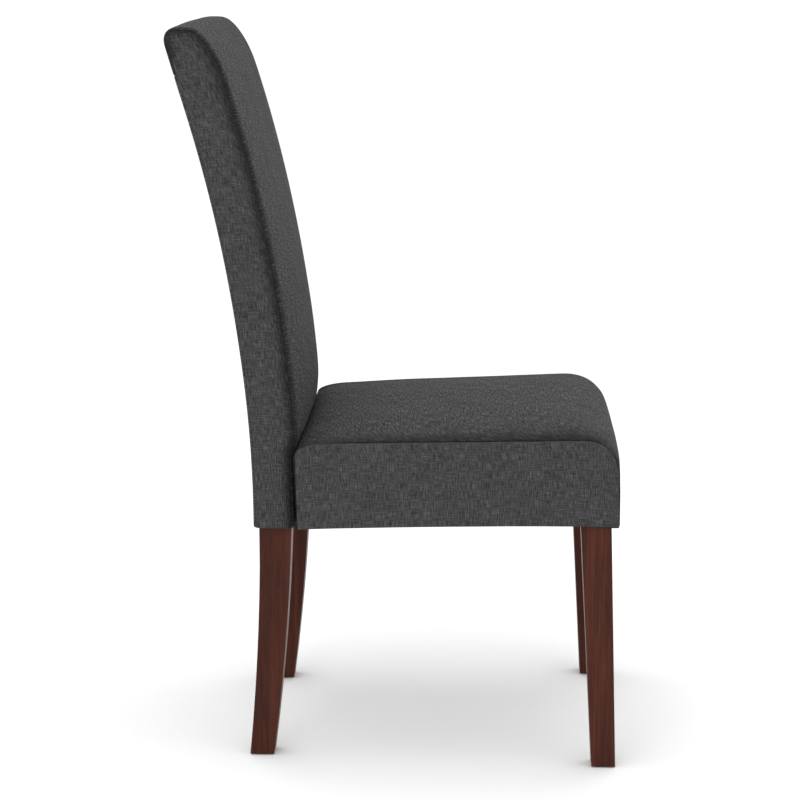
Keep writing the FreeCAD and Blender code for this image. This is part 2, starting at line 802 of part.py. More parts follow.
def staple_spots():
    """Middles of the staples and the way each lies, round the dust cover's edge."""
    edge = S.dust_cover_inset + S.staple_edge
    spots = []
    for _, side in SIDES:
        for forward in staple_row(edge + S.staple_end, leg_rear - S.staple_end):
            x = S.seat_rear_width / 2 - edge + seat_slope * forward
            spots.append((side * x, forward, False))
    rear_reach = S.seat_rear_width / 2 - edge - S.staple_end
    front_reach = leg_inside - S.staple_end
    for forward, reach in ((edge, rear_reach), (S.seat_depth - edge, front_reach)):
        for x in staple_row(-reach, reach):
            spots.append((x, forward, True))
    return spots


def dust_cover_staples():
    """Each crown lies on the cloth, and its legs go up into the rail."""
    body = new_body("dust_cover_staples")
    half = S.staple_width / 2
    wire = S.staple_wire
    low = -S.dust_cover_thickness - wire
    high = low + wire + S.staple_leg
    for x, forward, across in staple_spots():
        middle = x if across else -forward
        corners = [(middle - half, low), (middle + half, low), (middle + half, high),
                   (middle + half - wire, high), (middle + half - wire, low + wire),
                   (middle - half + wire, low + wire), (middle - half + wire, high),
                   (middle - half, high)]
        if across:
            prism(body, "XZ_Plane", corners, wire, offset=forward)
        else:
            prism(body, "YZ_Plane", corners, wire, offset=x)
    return on_seat(body)


# Soft forms: lofts through sections whose edges are lines and shallow arcs
def rounded_wire(height, rear, front, rear_half, front_half, corners, bulges, lean=0.0, pivot=0.0):
    """A four-sided outline at a height. rear and front are Y values, the halves are half widths,
    corners are the radii at rear and front, bulges stand out at the rear, the sides and the front,
    and lean is the slope of its plane round pivot."""
    rear_radius, front_radius = corners
    rear_bulge, side_bulge, front_bulge = bulges
    slope = (front_half - rear_half) / (rear - front)
    quarter = 1 - math.sqrt(0.5)

    def half_at(y):
        return rear_half + slope * (rear - y)

    def place(x, y):
        return Vector(x, y, height + (pivot - y) * lean)

    def side_points(side):
        return [
            place(side * (rear_half - rear_radius), rear),
            place(side * (rear_half - rear_radius * quarter), rear - rear_radius * quarter),
            place(side * half_at(rear - rear_radius), rear - rear_radius),
            place(side * (half_at((rear + front) / 2) + side_bulge), (rear + front) / 2),
            place(side * half_at(front + front_radius), front + front_radius),
            place(side * (front_half - front_radius * quarter), front + front_radius * quarter),
            place(side * (front_half - front_radius), front),
        ]

    right = side_points(RIGHT)
    left = side_points(LEFT)
    edges = []
    for start in (0, 2, 4):
        edges.append(Part.Arc(*right[start:start + 3]).toShape())
    edges.append(Part.Arc(right[6], place(0, front - front_bulge), left[6]).toShape())
    for start in (6, 4, 2):
        edges.append(Part.Arc(left[start], left[start - 1], left[start - 2]).toShape())
    edges.append(Part.Arc(left[0], place(0, rear + rear_bulge), right[0]).toShape())
    return Part.Wire(edges)


def round_inset(distance, radius):
    """How far a rounded edge draws in at a distance from its end."""
    if distance >= radius:
        return 0.0
    return radius - math.sqrt(radius ** 2 - (radius - distance) ** 2)


def oval_inset(height, start, rise, depth):
    """How far an oval edge draws in at a height over its start."""
    share = min(max((height - start) / rise, 0.0), 0.999)
    return depth * (1 - math.sqrt(1 - share ** 2))


def loft(wires):
    """A smooth solid through its sections. Its low degree keeps it from waving between them."""
    solid, ruled, closed, degree = True, False, False, 2
    return Part.makeLoft(wires, solid, ruled, closed, degree)


def smooth(share):
    share = min(max(share, 0.0), 1.0)
    return share * share * (3 - 2 * share)


# Sections lie at these shares of a rounding's height, of the side, of the crown and so on,
# closer together where a form turns.
SEAT_FOOT_SHARES = (0.0, 0.04, 0.15, 0.4, 1.0, 1.9, 3.2)
SIDE_SHARES = (0.3, 0.42, 0.54, 0.66, 0.77, 0.86, 0.93, 0.975)
CROWN_SHARES = (0.0, 0.06, 0.15, 0.27, 0.4, 0.54, 0.67, 0.78, 0.87, 0.93, 0.965)
BACK_FOOT_SHARES = (0.0, 0.2, 0.5, 1.0, 2.0, 3.4, 5.4)
BULGE_SHARES = (-2.1, -1.5, -0.9, -0.45, -0.13, 0.13, 0.4, 0.67, 0.95, 1.3)
BULGE_END = 1.8
PANEL_SHARES = (0.0, 0.04, 0.1, 0.18, 0.3, 0.45, 0.6, 0.75, 0.86, 0.94, 0.98)
TOP_SHARES = (0.72, 0.52, 0.37, 0.26, 0.17, 0.1, 0.05, 0.018, 0.0)

CROWN_POWER = 2.5
LEAST_CROWN = 0.3
FULL_SHARE = 0.995
LEAST_CORNER = 2.0
MOST_CORNER = 0.7
MOST_BACK_CORNER = 0.4
FRONT_CORNER_GAIN = 0.55
REAR_CORNER_GAIN = 0.45
LEAST_STEP = 4.0


def seat_levels():
    """Heights of the seat's sections, closer together where the form turns."""
    side = float(S.seat_side_height)
    levels = [float(S.seat_bottom_round) * share for share in SEAT_FOOT_SHARES]
    levels += [side * share for share in SIDE_SHARES]
    return levels + [side + float(S.seat_crown) * share for share in CROWN_SHARES]


def seat_wire(level, inset):
    """Outline of the seat at a level, drawn in by inset."""
    side = float(S.seat_side_height)
    crown = float(S.seat_crown)
    depth = float(S.seat_depth)
    top = side + crown
    over = min(max((level - side) / crown, 0.0), FULL_SHARE)
    half = (float(S.seat_rear_width) + float(S.seat_front_width)) / 4
    crown_inset = half * (1 - (1 - over) ** (1 / CROWN_POWER))
    edge = round_inset(level, float(S.seat_bottom_round))
    stand_out = LEAST_CROWN + float(S.side_bulge) * math.sin(math.pi * min(level / side, 1.0))
    front_start = top - float(S.seat_front_round_height)
    rear_start = top - float(S.seat_rear_round_height)
    front_inset = oval_inset(level, front_start, top - front_start, float(S.seat_front_round_depth))
    rear_inset = oval_inset(level, rear_start, top - rear_start, float(S.seat_rear_round_depth))
    rear = -(inset + rear_inset)
    front = -(depth - inset - front_inset - edge)
    rear_half = float(S.seat_rear_width) / 2 - inset - crown_inset - edge
    front_half = float(S.seat_front_width) / 2 - inset - crown_inset - edge
    corner = max(float(S.seat_corner) - inset, LEAST_CORNER)
    front_corner = corner + FRONT_CORNER_GAIN * min(crown_inset, front_inset)
    rear_corner = corner + REAR_CORNER_GAIN * min(crown_inset, rear_inset)
    corners = (min(rear_corner, rear_half * MOST_CORNER), min(front_corner, front_half * MOST_CORNER))
    height = level + inset * (1 - 2 * level / top)
    lean = math.tan(math.radians(float(S.seat_rise))) * over
    return rounded_wire(height, rear, front, rear_half, front_half, corners,
                        (LEAST_CROWN, stand_out, stand_out), lean=lean, pivot=-depth / 2)


def seat_form(inset, start=None):
    """Solid of the seat, drawn in by inset, whole or from a level up."""
    levels = seat_levels()
    if start is not None:
        levels = [start] + [level for level in levels if level > start + LEAST_STEP]
    return loft([seat_wire(level, inset) for level in levels])


def back_rear_y(height):
    """Y of the rear face of the back at a height."""
    rise = height - float(S.back_bottom)
    if rise <= 0:
        return float(back_face)
    if rise <= float(S.back_curve_rise):
        radius = float(S.back_curve)
        return float(back_face) + radius - math.sqrt(radius ** 2 - rise ** 2)
    return float(back_face + arc_reach) + float(arc_tangent) * (rise - float(S.back_curve_rise))


def back_slope_cosine(height):
    rise = min(max(height - float(S.back_bottom), 0.0), float(S.back_curve_rise))
    return math.sqrt(1 - (rise / float(S.back_curve)) ** 2)


def back_levels():
    """Heights of the back's sections."""
    start = float(S.back_bulge_start)
    rise = float(S.back_bulge_rise)
    full = start + rise * BULGE_END
    rounding = float(S.back_top_front_round)
    shoulder = float(S.overall_height) - rounding
    levels = [float(S.back_bottom + S.back_bottom_round * share) for share in BACK_FOOT_SHARES]
    levels += [start + rise * share for share in BULGE_SHARES]
    levels += [full + (shoulder - full) * share for share in PANEL_SHARES]
    return levels + [float(S.overall_height) - rounding * share for share in TOP_SHARES]


def back_wire(level, inset):
    """Outline of the back at a height, drawn in by inset."""
    low = float(S.back_bottom)
    top = float(S.overall_height)
    forward = smooth((level - float(S.back_bulge_start)) / float(S.back_bulge_rise))
    thick = float(S.back_base_thickness)
    thick += (float(S.back_thickness) - thick) * forward
    lumbar = float(S.lumbar_height)
    if level < lumbar:
        crown = float(S.lumbar_crown) * smooth(
            (level - float(S.back_bulge_start)) / (lumbar - float(S.back_bulge_start)))
    else:
        share = smooth((level - lumbar) / (top - lumbar))
        crown = float(S.lumbar_crown) + (float(S.upper_crown) - float(S.lumbar_crown)) * share
    crown = max(crown, LEAST_CROWN)
    edge = round_inset(level - low, float(S.back_bottom_round))
    above = top - level
    rear_inset = round_inset(above, float(S.back_top_rear_round)) + edge
    front_inset = round_inset(above, float(S.back_top_front_round))
    side_inset = round_inset(above, float(S.back_top_side_round)) + edge
    rear = back_rear_y(level) - inset - rear_inset
    front = back_rear_y(level) - thick / back_slope_cosine(level) + inset + front_inset
    half = float(S.back_width) / 2 - inset - side_inset
    corner = max(float(S.back_corner) - inset, LEAST_CORNER)
    height = level + inset * (1 - 2 * (level - low) / (top - low))
    corner = min(corner, (rear - front) * MOST_BACK_CORNER)
    return rounded_wire(height, rear, front, half, half, (corner, corner),
                        (LEAST_CROWN, LEAST_CROWN, crown))


def back_form(inset):
    return loft([back_wire(level, inset) for level in back_levels()])


# Cutting solids run this far past what they cut, or past the whole chair.
PAST = 20.0
FAR = 600.0


def side_solid(corners, low_x, high_x):
    """A solid between two X values whose outline lies in Y and Z. A corner of three values holds
    the middle point of an arc that starts there."""
    edges = []
    for index, corner in enumerate(corners):
        start = Vector(low_x, corner[0], corner[1])
        following = corners[(index + 1) % len(corners)]
        end = Vector(low_x, following[0], following[1])
        if len(corner) == 3:
            middle = Vector(low_x, corner[2][0], corner[2][1])
            edges.append(Part.Arc(start, middle, end).toShape())
        else:
            edges.append(Part.LineSegment(start, end).toShape())
    return Part.Face(Part.Wire(edges)).extrude(Vector(high_x - low_x, 0, 0))


def plan_solid(corners, low, high):
    """A solid between two heights whose outline lies in X and Y."""
    points = [Vector(x, y, low) for x, y in corners]
    face = Part.Face(Part.makePolygon(points + points[:1]))
    return face.extrude(Vector(0, 0, high - low))


def numbers(place):
    return float(place[0]), float(place[1])


def back_layer(near, far, lowest):
    """The curved space between two depths of the back, as wide and high as its posts."""
    lift = lift_to(post_top, post_depth)
    half = float(S.rear_legs_across / 2 + S.fill_gap)
    near_low = numbers(back_point(near))
    far_low = numbers(back_point(far))
    return side_solid([
        (near_low[0], lowest),
        (*near_low, numbers(back_point(near, rise=0.5))),
        numbers(back_point(near, rise=1)),
        numbers(back_point(near, lift=lift)),
        numbers(back_point(far, lift=lift)),
        (*numbers(back_point(far, rise=1)), numbers(back_point(far, rise=0.5))),
        far_low,
        (far_low[0], lowest),
    ], -half, half)


def behind(depth, lowest, highest):
    """All space behind a depth of the back, between two heights."""
    low = numbers(back_point(depth))
    top = numbers(back_point(depth, lift=lift_to(highest, depth)))
    return side_solid([
        (low[0], lowest),
        (*low, numbers(back_point(depth, rise=0.5))),
        numbers(back_point(depth, rise=1)),
        top,
        (FAR, top[1]),
        (FAR, lowest),
    ], -FAR, FAR)


LEAST_VOLUME = 50.0


def soft(label, shape, in_seat=False):
    """Keeps a soft piece, in the seat's frame or in the chair's."""
    solids = [solid for solid in shape.Solids if solid.Volume > LEAST_VOLUME]
    thing = doc.addObject("Part::Feature", label)
    thing.Shape = solids[0] if len(solids) == 1 else Part.makeCompound(solids)
    if in_seat:
        on_seat(thing)
    return thing


def back_soft_pieces():
    """Covers, foam, side padding and rear wadding of the back."""
    cover = float(S.cover_thickness)
    low = float(S.back_bottom)
    outer = back_form(0.0)
    inner = back_form(cover)
    near = S.cover_thickness + S.rear_wadding
    far = post_front + S.strap_thickness + S.fill_gap
    frame_space = back_layer(near, far, low - PAST)
    shell = outer.cut(inner).cut(frame_space)
    filling = inner.cut(frame_space)
    half_seam = float(S.back_width) / 2 - float(S.seam_inset)
    half_frame = float(S.rear_legs_across) / 2
    middle = Part.makeBox(half_seam * 2, FAR * 2, FAR * 2, Vector(-half_seam, -FAR, 0))
    frame_box = Part.makeBox(half_frame * 2, FAR * 2, FAR * 2, Vector(-half_frame, -FAR, 0))
    rear_space = behind(S.back_thickness / 2, low - PAST, S.rear_seam_height)
    front_and_rear = shell.common(middle)
    pieces = {
        "back_cover_front": front_and_rear.cut(rear_space),
        "back_cover_rear": front_and_rear.common(rear_space),
    }
    wings = shell.cut(middle)
    side_filling = filling.cut(frame_box)
    for name, side in SIDES:
        corner = Vector(0 if side > 0 else -FAR, -FAR, 0)
        half_space = Part.makeBox(FAR, FAR * 2, FAR * 2, corner)
        pieces[f"back_cover_{name}"] = wings.common(half_space)
        pieces[f"back_padding_{name}"] = side_filling.common(half_space)
    core = filling.common(frame_box)
    rear_layer = behind(near + S.rear_board / 2, low - PAST, post_top)
    pieces["back_foam"] = core.cut(rear_layer)
    pieces["back_rear_wadding"] = core.common(rear_layer)
    return pieces


def seat_soft_pieces():
    """Covers, wadding, foam and edge padding of the seat, in its own frame."""
    cover = float(S.cover_thickness)
    top = float(S.seat_side_height + S.seat_crown)
    depth = float(S.seat_depth)
    outer = seat_form(0.0)
    inner = seat_form(cover)
    webbing = float(strap_top + S.fill_gap)
    hem = float(S.hem_width)
    rear_half = float(S.seat_rear_width) / 2
    front_half = float(S.seat_front_width) / 2
    opening = plan_solid([
        (rear_half - hem, -cover * 2), (front_half - hem, -(depth - hem)),
        (-(front_half - hem), -(depth - hem)), (-(rear_half - hem), -cover * 2)],
        -PAST, cover * 2)
    clear = float(S.cover_gap)
    legs = []
    for _, side in SIDES:
        low_x = min(side * float(leg_inside - clear), side * float(leg_outside + clear))
        width = float(leg_outside - leg_inside) + clear * 2
        length = float(leg_front - leg_rear) + clear * 2
        corner = Vector(low_x, -float(leg_front) - clear, -PAST)
        legs.append(Part.makeBox(width, length, PAST * 2, corner))
    shell = outer.cut(inner).cut(opening.multiFuse(legs))
    seam = float(S.seam_inset)
    seam_round = float(S.seam_round)
    height = float(S.seat_side_height)
    quarter = seam_round * (1 - math.sqrt(0.5))
    front = -(depth - seam)
    side_outline = [
        (PAST, -PAST), (PAST, height),
        (front + seam_round, height, (front + quarter, height - quarter)),
        (front, height - seam_round), (front, -PAST)]
    slab = side_solid(side_outline, -FAR, FAR)
    slope = float(seat_slope)
    pieces = {}
    wings = []
    for name, side in SIDES:
        wedge = plan_solid([
            (side * (rear_half - seam - slope * PAST), PAST), (side * FAR, PAST),
            (side * FAR, -depth - PAST), (side * (front_half - seam + slope * PAST), -depth - PAST)],
            -PAST, top + PAST)
        wing = slab.common(wedge)
        wings.append(wing)
        pieces[f"seat_cover_{name}"] = shell.common(wing)
    pieces["seat_cover_top"] = shell.cut(wings[0]).cut(wings[1])
    wadded = seat_form(cover + float(S.seat_wadding), start=webbing)
    above = Part.makeBox(FAR * 2, FAR * 2, FAR, Vector(-FAR, -FAR, webbing))
    crown = inner.common(above)
    pieces["seat_foam"] = wadded.common(above)
    pieces["seat_wadding"] = crown.cut(wadded)
    side_x = float(leg_outside + S.fill_gap)
    front_y = -float(leg_front + S.fill_gap)
    rear_x = float(rail_outside(rail_rear) + S.fill_gap)
    core = plan_solid([
        (rear_x, PAST), (rear_x, -float(rail_rear)), (side_x, -float(leg_rear)), (side_x, front_y),
        (-side_x, front_y), (-side_x, -float(leg_rear)), (-rear_x, -float(rail_rear)),
        (-rear_x, PAST)], -PAST, FAR)
    below = Part.makeBox(FAR * 2, FAR * 2, webbing + PAST, Vector(-FAR, -FAR, -PAST))
    edge = inner.common(below).cut(core)
    front_space = Part.makeBox(side_x * 2, FAR, FAR, Vector(-side_x, front_y - FAR, -PAST))
    pieces["seat_padding_front"] = edge.common(front_space)
    for name, side in SIDES:
        corner = Vector(0 if side > 0 else -FAR, -FAR, -PAST)
        half_space = Part.makeBox(FAR, FAR * 2, FAR, corner)
        pieces[f"seat_padding_{name}"] = edge.cut(front_space).common(half_space)
    return pieces


# Assembly
PIERCED = ("back_cover_front", "back_foam", "seat_cover_top")


def fastener_set(things):
    group = doc.addObject("Part::Compound", "fasteners")
    group.Links = things
    return group


def bored(label, blank, tools):
    """A piece with the holes that the fasteners need."""
    cut = doc.addObject("Part::Cut", label)
    cut.Base = blank
    cut.Tool = tools
    return keep(label, cut)


def build():
    for label, body in (
            ("back_rail_dowels", back_dowels()), ("seat_rail_dowels", seat_dowels()),
            ("corner_block_screws", block_screws()), ("seat_bolts", seat_bolts()),
            ("seat_bolt_washers", bolt_washers()), ("threaded_inserts", threaded_inserts()),
            ("back_webbing", back_webbing()), ("seat_webbing_long", long_webbing()),
            ("seat_webbing_cross", cross_webbing()), ("back_rear_board", rear_board()),
            ("back_bottom_cloth", back_bottom_cloth()),
            ("dust_cover_staples", dust_cover_staples())):
        keep(label, body)
    glides = []
    for place, x, y in feet():
        for name, side in SIDES:
            glides.append(keep(f"floor_glide_{place}_{name}", floor_glide(side * x, y)))
    doc.recompute()
    tools = fastener_set([kept[label] for label in (
        "back_rail_dowels", "seat_rail_dowels", "corner_block_screws", "seat_bolts",
        "seat_bolt_washers", "threaded_inserts")] + glides)
    staples = kept["dust_cover_staples"]
    rails = fastener_set([tools, staples])
    for name, side in SIDES:
        bored(f"rear_leg_{name}", rear_leg(side), tools)
        bored(f"front_leg_{name}", front_leg(side), tools)
        bored(f"seat_rail_{name}", side_rail(side), rails)
        bored(f"corner_block_rear_{name}", rear_block(side), tools)
        bored(f"corner_block_front_{name}", front_block(side), tools)
    bored("back_top_rail", top_rail(), tools)
    bored("back_lumbar_rail", lumbar_rail(), tools)
    bored("back_bottom_rail", bottom_rail(), tools)
    bored("seat_rail_rear", rear_rail(), rails)
    bored("seat_rail_front", front_rail(), rails)
    bored("seat_dust_cover", dust_cover(), staples)
    for pieces, in_seat in ((back_soft_pieces(), False), (seat_soft_pieces(), True)):
        for label, shape in pieces.items():
            if label in PIERCED:
                bored(label, soft(label + "_whole", shape, in_seat), kept["seat_bolts"])
            else:
                keep(label, soft(label, shape, in_seat))
    doc.recompute()


def check_model():
    """Stops on a failed object or a piece whose shape isn't sound."""
    for thing in doc.Objects:
        if "Invalid" in thing.State or "Error" in thing.State:
            raise RuntimeError(f"{thing.Label} failed: {thing.State}")
    for label, thing in kept.items():
        shape = thing.Shape
        if shape.isNull() or not shape.isValid() or not shape.Solids:
            raise RuntimeError(f"{label} has no sound shape")


def write_parts():
    os.makedirs("parts", exist_ok=True)
    for label, thing in sorted(kept.items()):
        thing.Shape.exportStep(f"parts/{label}.step")
        box = thing.Shape.BoundBox
        print(f"{label:26s} {len(thing.Shape.Solids):3d} solids {thing.Shape.Volume:12.0f} mm3  "
              f"x {box.XMin:7.1f} {box.XMax:7.1f}  y {box.YMin:7.1f} {box.YMax:7.1f}  "
              f"z {box.ZMin:7.1f} {box.ZMax:7.1f}")
    whole = FreeCAD.BoundBox()
    for thing in kept.values():
        whole.add(thing.Shape.BoundBox)
    print("pieces", len(kept), "box", whole)


build()
check_model()
write_parts()
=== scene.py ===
import json
import math

import bpy
import numpy as np
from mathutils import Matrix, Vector


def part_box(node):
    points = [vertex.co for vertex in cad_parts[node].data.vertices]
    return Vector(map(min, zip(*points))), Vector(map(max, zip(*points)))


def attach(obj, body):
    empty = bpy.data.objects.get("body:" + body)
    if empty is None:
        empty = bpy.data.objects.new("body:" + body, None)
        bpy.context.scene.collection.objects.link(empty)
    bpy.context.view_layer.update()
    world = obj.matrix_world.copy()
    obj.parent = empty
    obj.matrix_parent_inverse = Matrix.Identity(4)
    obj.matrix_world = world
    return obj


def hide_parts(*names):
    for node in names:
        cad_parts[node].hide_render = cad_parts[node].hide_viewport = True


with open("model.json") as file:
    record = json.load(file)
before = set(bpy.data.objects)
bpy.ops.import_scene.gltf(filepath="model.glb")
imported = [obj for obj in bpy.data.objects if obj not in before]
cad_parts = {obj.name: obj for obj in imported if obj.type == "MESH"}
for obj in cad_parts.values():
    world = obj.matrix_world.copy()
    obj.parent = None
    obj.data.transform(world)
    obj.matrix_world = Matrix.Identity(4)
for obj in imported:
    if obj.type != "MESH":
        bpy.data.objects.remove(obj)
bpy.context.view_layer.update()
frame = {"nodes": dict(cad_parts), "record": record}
nodes = frame["nodes"]

LEFT = -1
RIGHT = 1
SIDES = (("left", LEFT), ("right", RIGHT))

# Sizes of the seat, in its own frame: forward of its rear plane, and height over its underside.
# A rounding is written as its reach along the top and its height.
SEAT_TILT = math.radians(1.5)
SEAT_RISE = math.tan(math.radians(2.0))
SEAT_DEPTH = 0.4375
SEAT_REAR_HALF = 0.216
SEAT_REAR_INSET = 0.0034
SIDE_HEIGHT = 0.117
SEAT_CROWN = 0.0160
CROWN_TOP = SIDE_HEIGHT + SEAT_CROWN
DOME_POWER = 3
FRONT_ROUND = (0.100, 0.050)
FRONT_POWER = 2.5
REAR_ROUND = (0.125, 0.044)
REAR_LEAN = 0.006
SEAM_ROUND = 0.044
REAR_SEAM_ROUND = (0.048, 0.015)
SEAT_HEM = 0.026
HEM_ARCH = 0.0026
HEM_ARCH_POWER = 0.7
FRONT_SWELL = 0.002
SIDE_SWELL = 0.0012
SEAT_EDGE = 0.006
SEAT_RIPPLE = 0.0007
SEAT_RIPPLE_START = 0.3
SIDE_RIPPLE = 0.0004
SIDE_RIPPLE_REACH = 0.03
TOP_TUCK_DROP = 0.6
TUCK_AIM = 0.06
SEAT_ROWS = (20, 70, 18, 18)

# Sizes of the back. A rounding is written as its depth and its height.
BACK_THICKNESS = 0.0645
BACK_BASE_THICKNESS = 0.0565
BACK_CURVE = 1.940
BACK_CURVE_RISE = 0.574
BOARD_TO_FACE = 0.0070
BULGE_START = 0.426
BULGE_RISE = 0.030
LUMBAR_HEIGHT = 0.500
LUMBAR_CROWN = 0.012
UPPER_CROWN = 0.0005
CROWN_FALL = 0.02
CROWN_POWER = 2.4
REAR_SWELL = 0.0013
REAR_SWELL_RISE = 0.2
REAR_SWELL_FALL = 0.1
TOP_FRONT_ROUND = (0.028, 0.070)
TOP_REAR_ROUND = (0.021, 0.024)
TOP_CORNER_SHARE = 0.3
TOP_SIDE_DROP = 0.001
TOP_DROP_REACH = 0.05
TOP_DROP_POWER = 4
REAR_SEAM_HEIGHT = 0.935
REAR_SEAM_EDGE = 0.0025
REAR_SEAM_PINCH = 0.4
BACK_EDGE = 0.010
BACK_HEM = 0.012
BACK_RIPPLE = 0.0006
BACK_RIPPLE_REACH = 0.05
BACK_SIDE_RIPPLE = 0.0005
BACK_SIDE_RIPPLE_REACH = 0.02
FACE_POINTS = 120
OUTLINE_POINTS = 1200

# Seams, hems, waves and grids of every panel
COVER_INSET = 0.0002
PINCH = 0.0008
PINCH_REACH = 0.0030
ALLOWANCE = 0.006
HEM_RADIUS = 0.002
HEM_STEPS = 3
WAVES = 7
WAVE_LENGTHS = (0.07, 0.22)
SEEDS = {"seat_top": 3, "seat_side": 5, "back_rear": 11, "back_front": 12, "back_side": 21}
GRID = 0.006
EDGE_STEPS = np.array([0.0, 0.0012, 0.0027, 0.0047, 0.0073, 0.0105, 0.0145, 0.0195])
HALF_TURN = math.sqrt(0.5)
ANGLES = np.linspace(0.0, math.pi / 2, 25)

# Places read from the frame
seat_low, seat_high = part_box("seat_cover_top")
back_low, back_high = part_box("back_cover_front")
SEAT_BOTTOM = seat_low.z
CONTACT = seat_high.y - SEAT_REAR_INSET
SEAT_FRONT_HALF = seat_high.x - COVER_INSET
BACK_BOTTOM = back_low.z
BACK_TOP = back_high.z
BACK_HALF = -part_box("back_cover_left")[0].x - COVER_INSET
BACK_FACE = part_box("back_rear_board")[0].y + BOARD_TO_FACE


# Curves and surfaces as arrays of points
def smooth(share):
    """Rises from 0 to 1 without a kink at either end."""
    share = np.clip(share, 0.0, 1.0)
    return share * share * (3 - 2 * share)


def along(points):
    """Distance covered at each point of a polyline."""
    steps = np.linalg.norm(np.diff(points, axis=0), axis=1)
    return np.concatenate([[0.0], np.cumsum(steps)])


def sampled(values, covered, places):
    """Rows of values that are known at distances covered, read at other places."""
    columns = [np.interp(places, covered, values[:, axis]) for axis in range(values.shape[1])]
    return np.stack(columns, axis=1)


def at_shares(points, shares):
    """Points of a polyline at shares of its length."""
    points = np.asarray(points, float)
    covered = along(points)
    return sampled(points, covered, np.asarray(shares) * covered[-1])


def chain(stretches, counts):
    """Resamples each stretch evenly and joins them without doubled ends."""
    rows = [at_shares(stretch, np.linspace(0, 1, count + 1)) for stretch, count in zip(stretches, counts)]
    return np.concatenate([rows[0]] + [row[1:] for row in rows[1:]])


def spaced(length, fine_start=True, fine_end=True):
    """Places along a length, closer together near the ends that are sewn."""
    first = EDGE_STEPS if fine_start else np.zeros(1)
    last = EDGE_STEPS if fine_end else np.zeros(1)
    inner = length - first[-1] - last[-1]
    count = max(int(round(inner / GRID)), 2)
    middle = first[-1] + inner * np.arange(1, count) / count
    return np.concatenate([first, middle, length - last[::-1]])


def nearest_index(heights, height):
    return int(np.argmin(np.abs(heights - height)))


def seam_depth(radius):
    """How far a seam lies in from the faces that meet there."""
    return radius * (1 - HALF_TURN) + PINCH


def draw_in(distance, radius):
    """How far a stuffed edge stands in from its face at a distance from its seam."""
    turn = np.clip(radius * HALF_TURN - distance, 0.0, None)
    return radius - np.sqrt(radius ** 2 - turn ** 2) + PINCH * np.exp(-distance / PINCH_REACH)


def inward_normals(line):
    """Unit normals of a line in a plane, on its right-hand side."""
    steps = np.gradient(line, axis=0)
    steps /= np.maximum(np.linalg.norm(steps, axis=1, keepdims=True), 1e-12)
    return np.stack([steps[:, 1], -steps[:, 0]], axis=1)


def coons(start_side, end_side, low_line, high_line, across, up):
    """A grid inside four lines. Both sides run up, and both other lines run across."""
    left = at_shares(start_side, up)[:, None, :]
    right = at_shares(end_side, up)[:, None, :]
    low = at_shares(low_line, across)[None, :, :]
    high = at_shares(high_line, across)[None, :, :]
    u = np.asarray(across)[None, :, None]
    v = np.asarray(up)[:, None, None]
    ruled = (1 - u) * left + u * right + (1 - v) * low + v * high
    corners = ((1 - u) * (1 - v) * left[:1] + u * (1 - v) * right[:1]
               + (1 - u) * v * left[-1:] + u * v * right[-1:])
    return ruled - corners


def distance_to(line, points):
    """Shortest distance from points to a polyline in a plane."""
    flat = points.reshape(-1, 1, 2)
    start = line[None, :-1]
    step = line[None, 1:] - start
    length = np.maximum((step ** 2).sum(-1), 1e-14)
    share = np.clip(((flat - start) * step).sum(-1) / length, 0.0, 1.0)
    nearest = start + step * share[..., None]
    return np.linalg.norm(flat - nearest, axis=-1).min(axis=1).reshape(points.shape[:-1])


def ripple(first, second, seed):
    """Slow waves of a hand-stuffed surface, between -2 and 2 and mostly within 1."""
    source = np.random.default_rng(seed)
    total = np.zeros(np.broadcast(first, second).shape)
    for _ in range(WAVES):
        turn, phase = source.uniform(0, 2 * math.pi, 2)
        length = source.uniform(*WAVE_LENGTHS)
        run = first * math.cos(turn) + second * math.sin(turn)
        total = total + np.sin(run * 2 * math.pi / length + phase)
    return total / WAVES * 2


def add_allowance(points, side, inward):
    """Adds the seam allowance of a side panel, a strip that turns in at its top, start and end."""
    step = np.concatenate([np.full(inward.shape[:2] + (1,), -float(side)), inward], axis=-1)
    tucked = points + step * ALLOWANCE * HALF_TURN
    points = np.concatenate([points, tucked[-1:]])
    tucked = np.concatenate([tucked, tucked[-1:]])
    return np.concatenate([tucked[:, :1], points, tucked[:, -1:]], axis=1)


def hem_last(points, inward, reach):
    """Adds rows after the last one that turn under a lower edge and lie flat."""
    last = points[-1]
    inward = np.broadcast_to(inward, last.shape)
    down = np.array([0.0, 0.0, -1.0])
    rows = []
    for angle in np.linspace(0, math.pi / 2, HEM_STEPS + 1)[1:]:
        turned = inward * HEM_RADIUS * (1 - math.cos(angle))
        rows.append(last + turned + down * HEM_RADIUS * math.sin(angle))
    flat = rows[-1]
    for share in np.linspace(0, 1, HEM_STEPS + 1)[1:]:
        rows.append(flat + inward * reach * share)
    return np.concatenate([points, np.stack(rows)])


def hem_first(points, inward, reach):
    """The same before the first row."""
    return hem_last(points[::-1], inward, reach)[::-1]


def cloth_map(points):
    """Places on the flat cloth, in metres from the middle column and the first row."""
    rows, columns = points.shape[:2]
    steps = np.linalg.norm(np.diff(points, axis=1), axis=-1)
    across = np.concatenate([np.zeros((rows, 1)), np.cumsum(steps, axis=1)], axis=1)
    across -= across[:, columns // 2][:, None]
    run = along(points[:, columns // 2])
    return np.stack([across, np.repeat(run[:, None], columns, axis=1)], axis=-1)


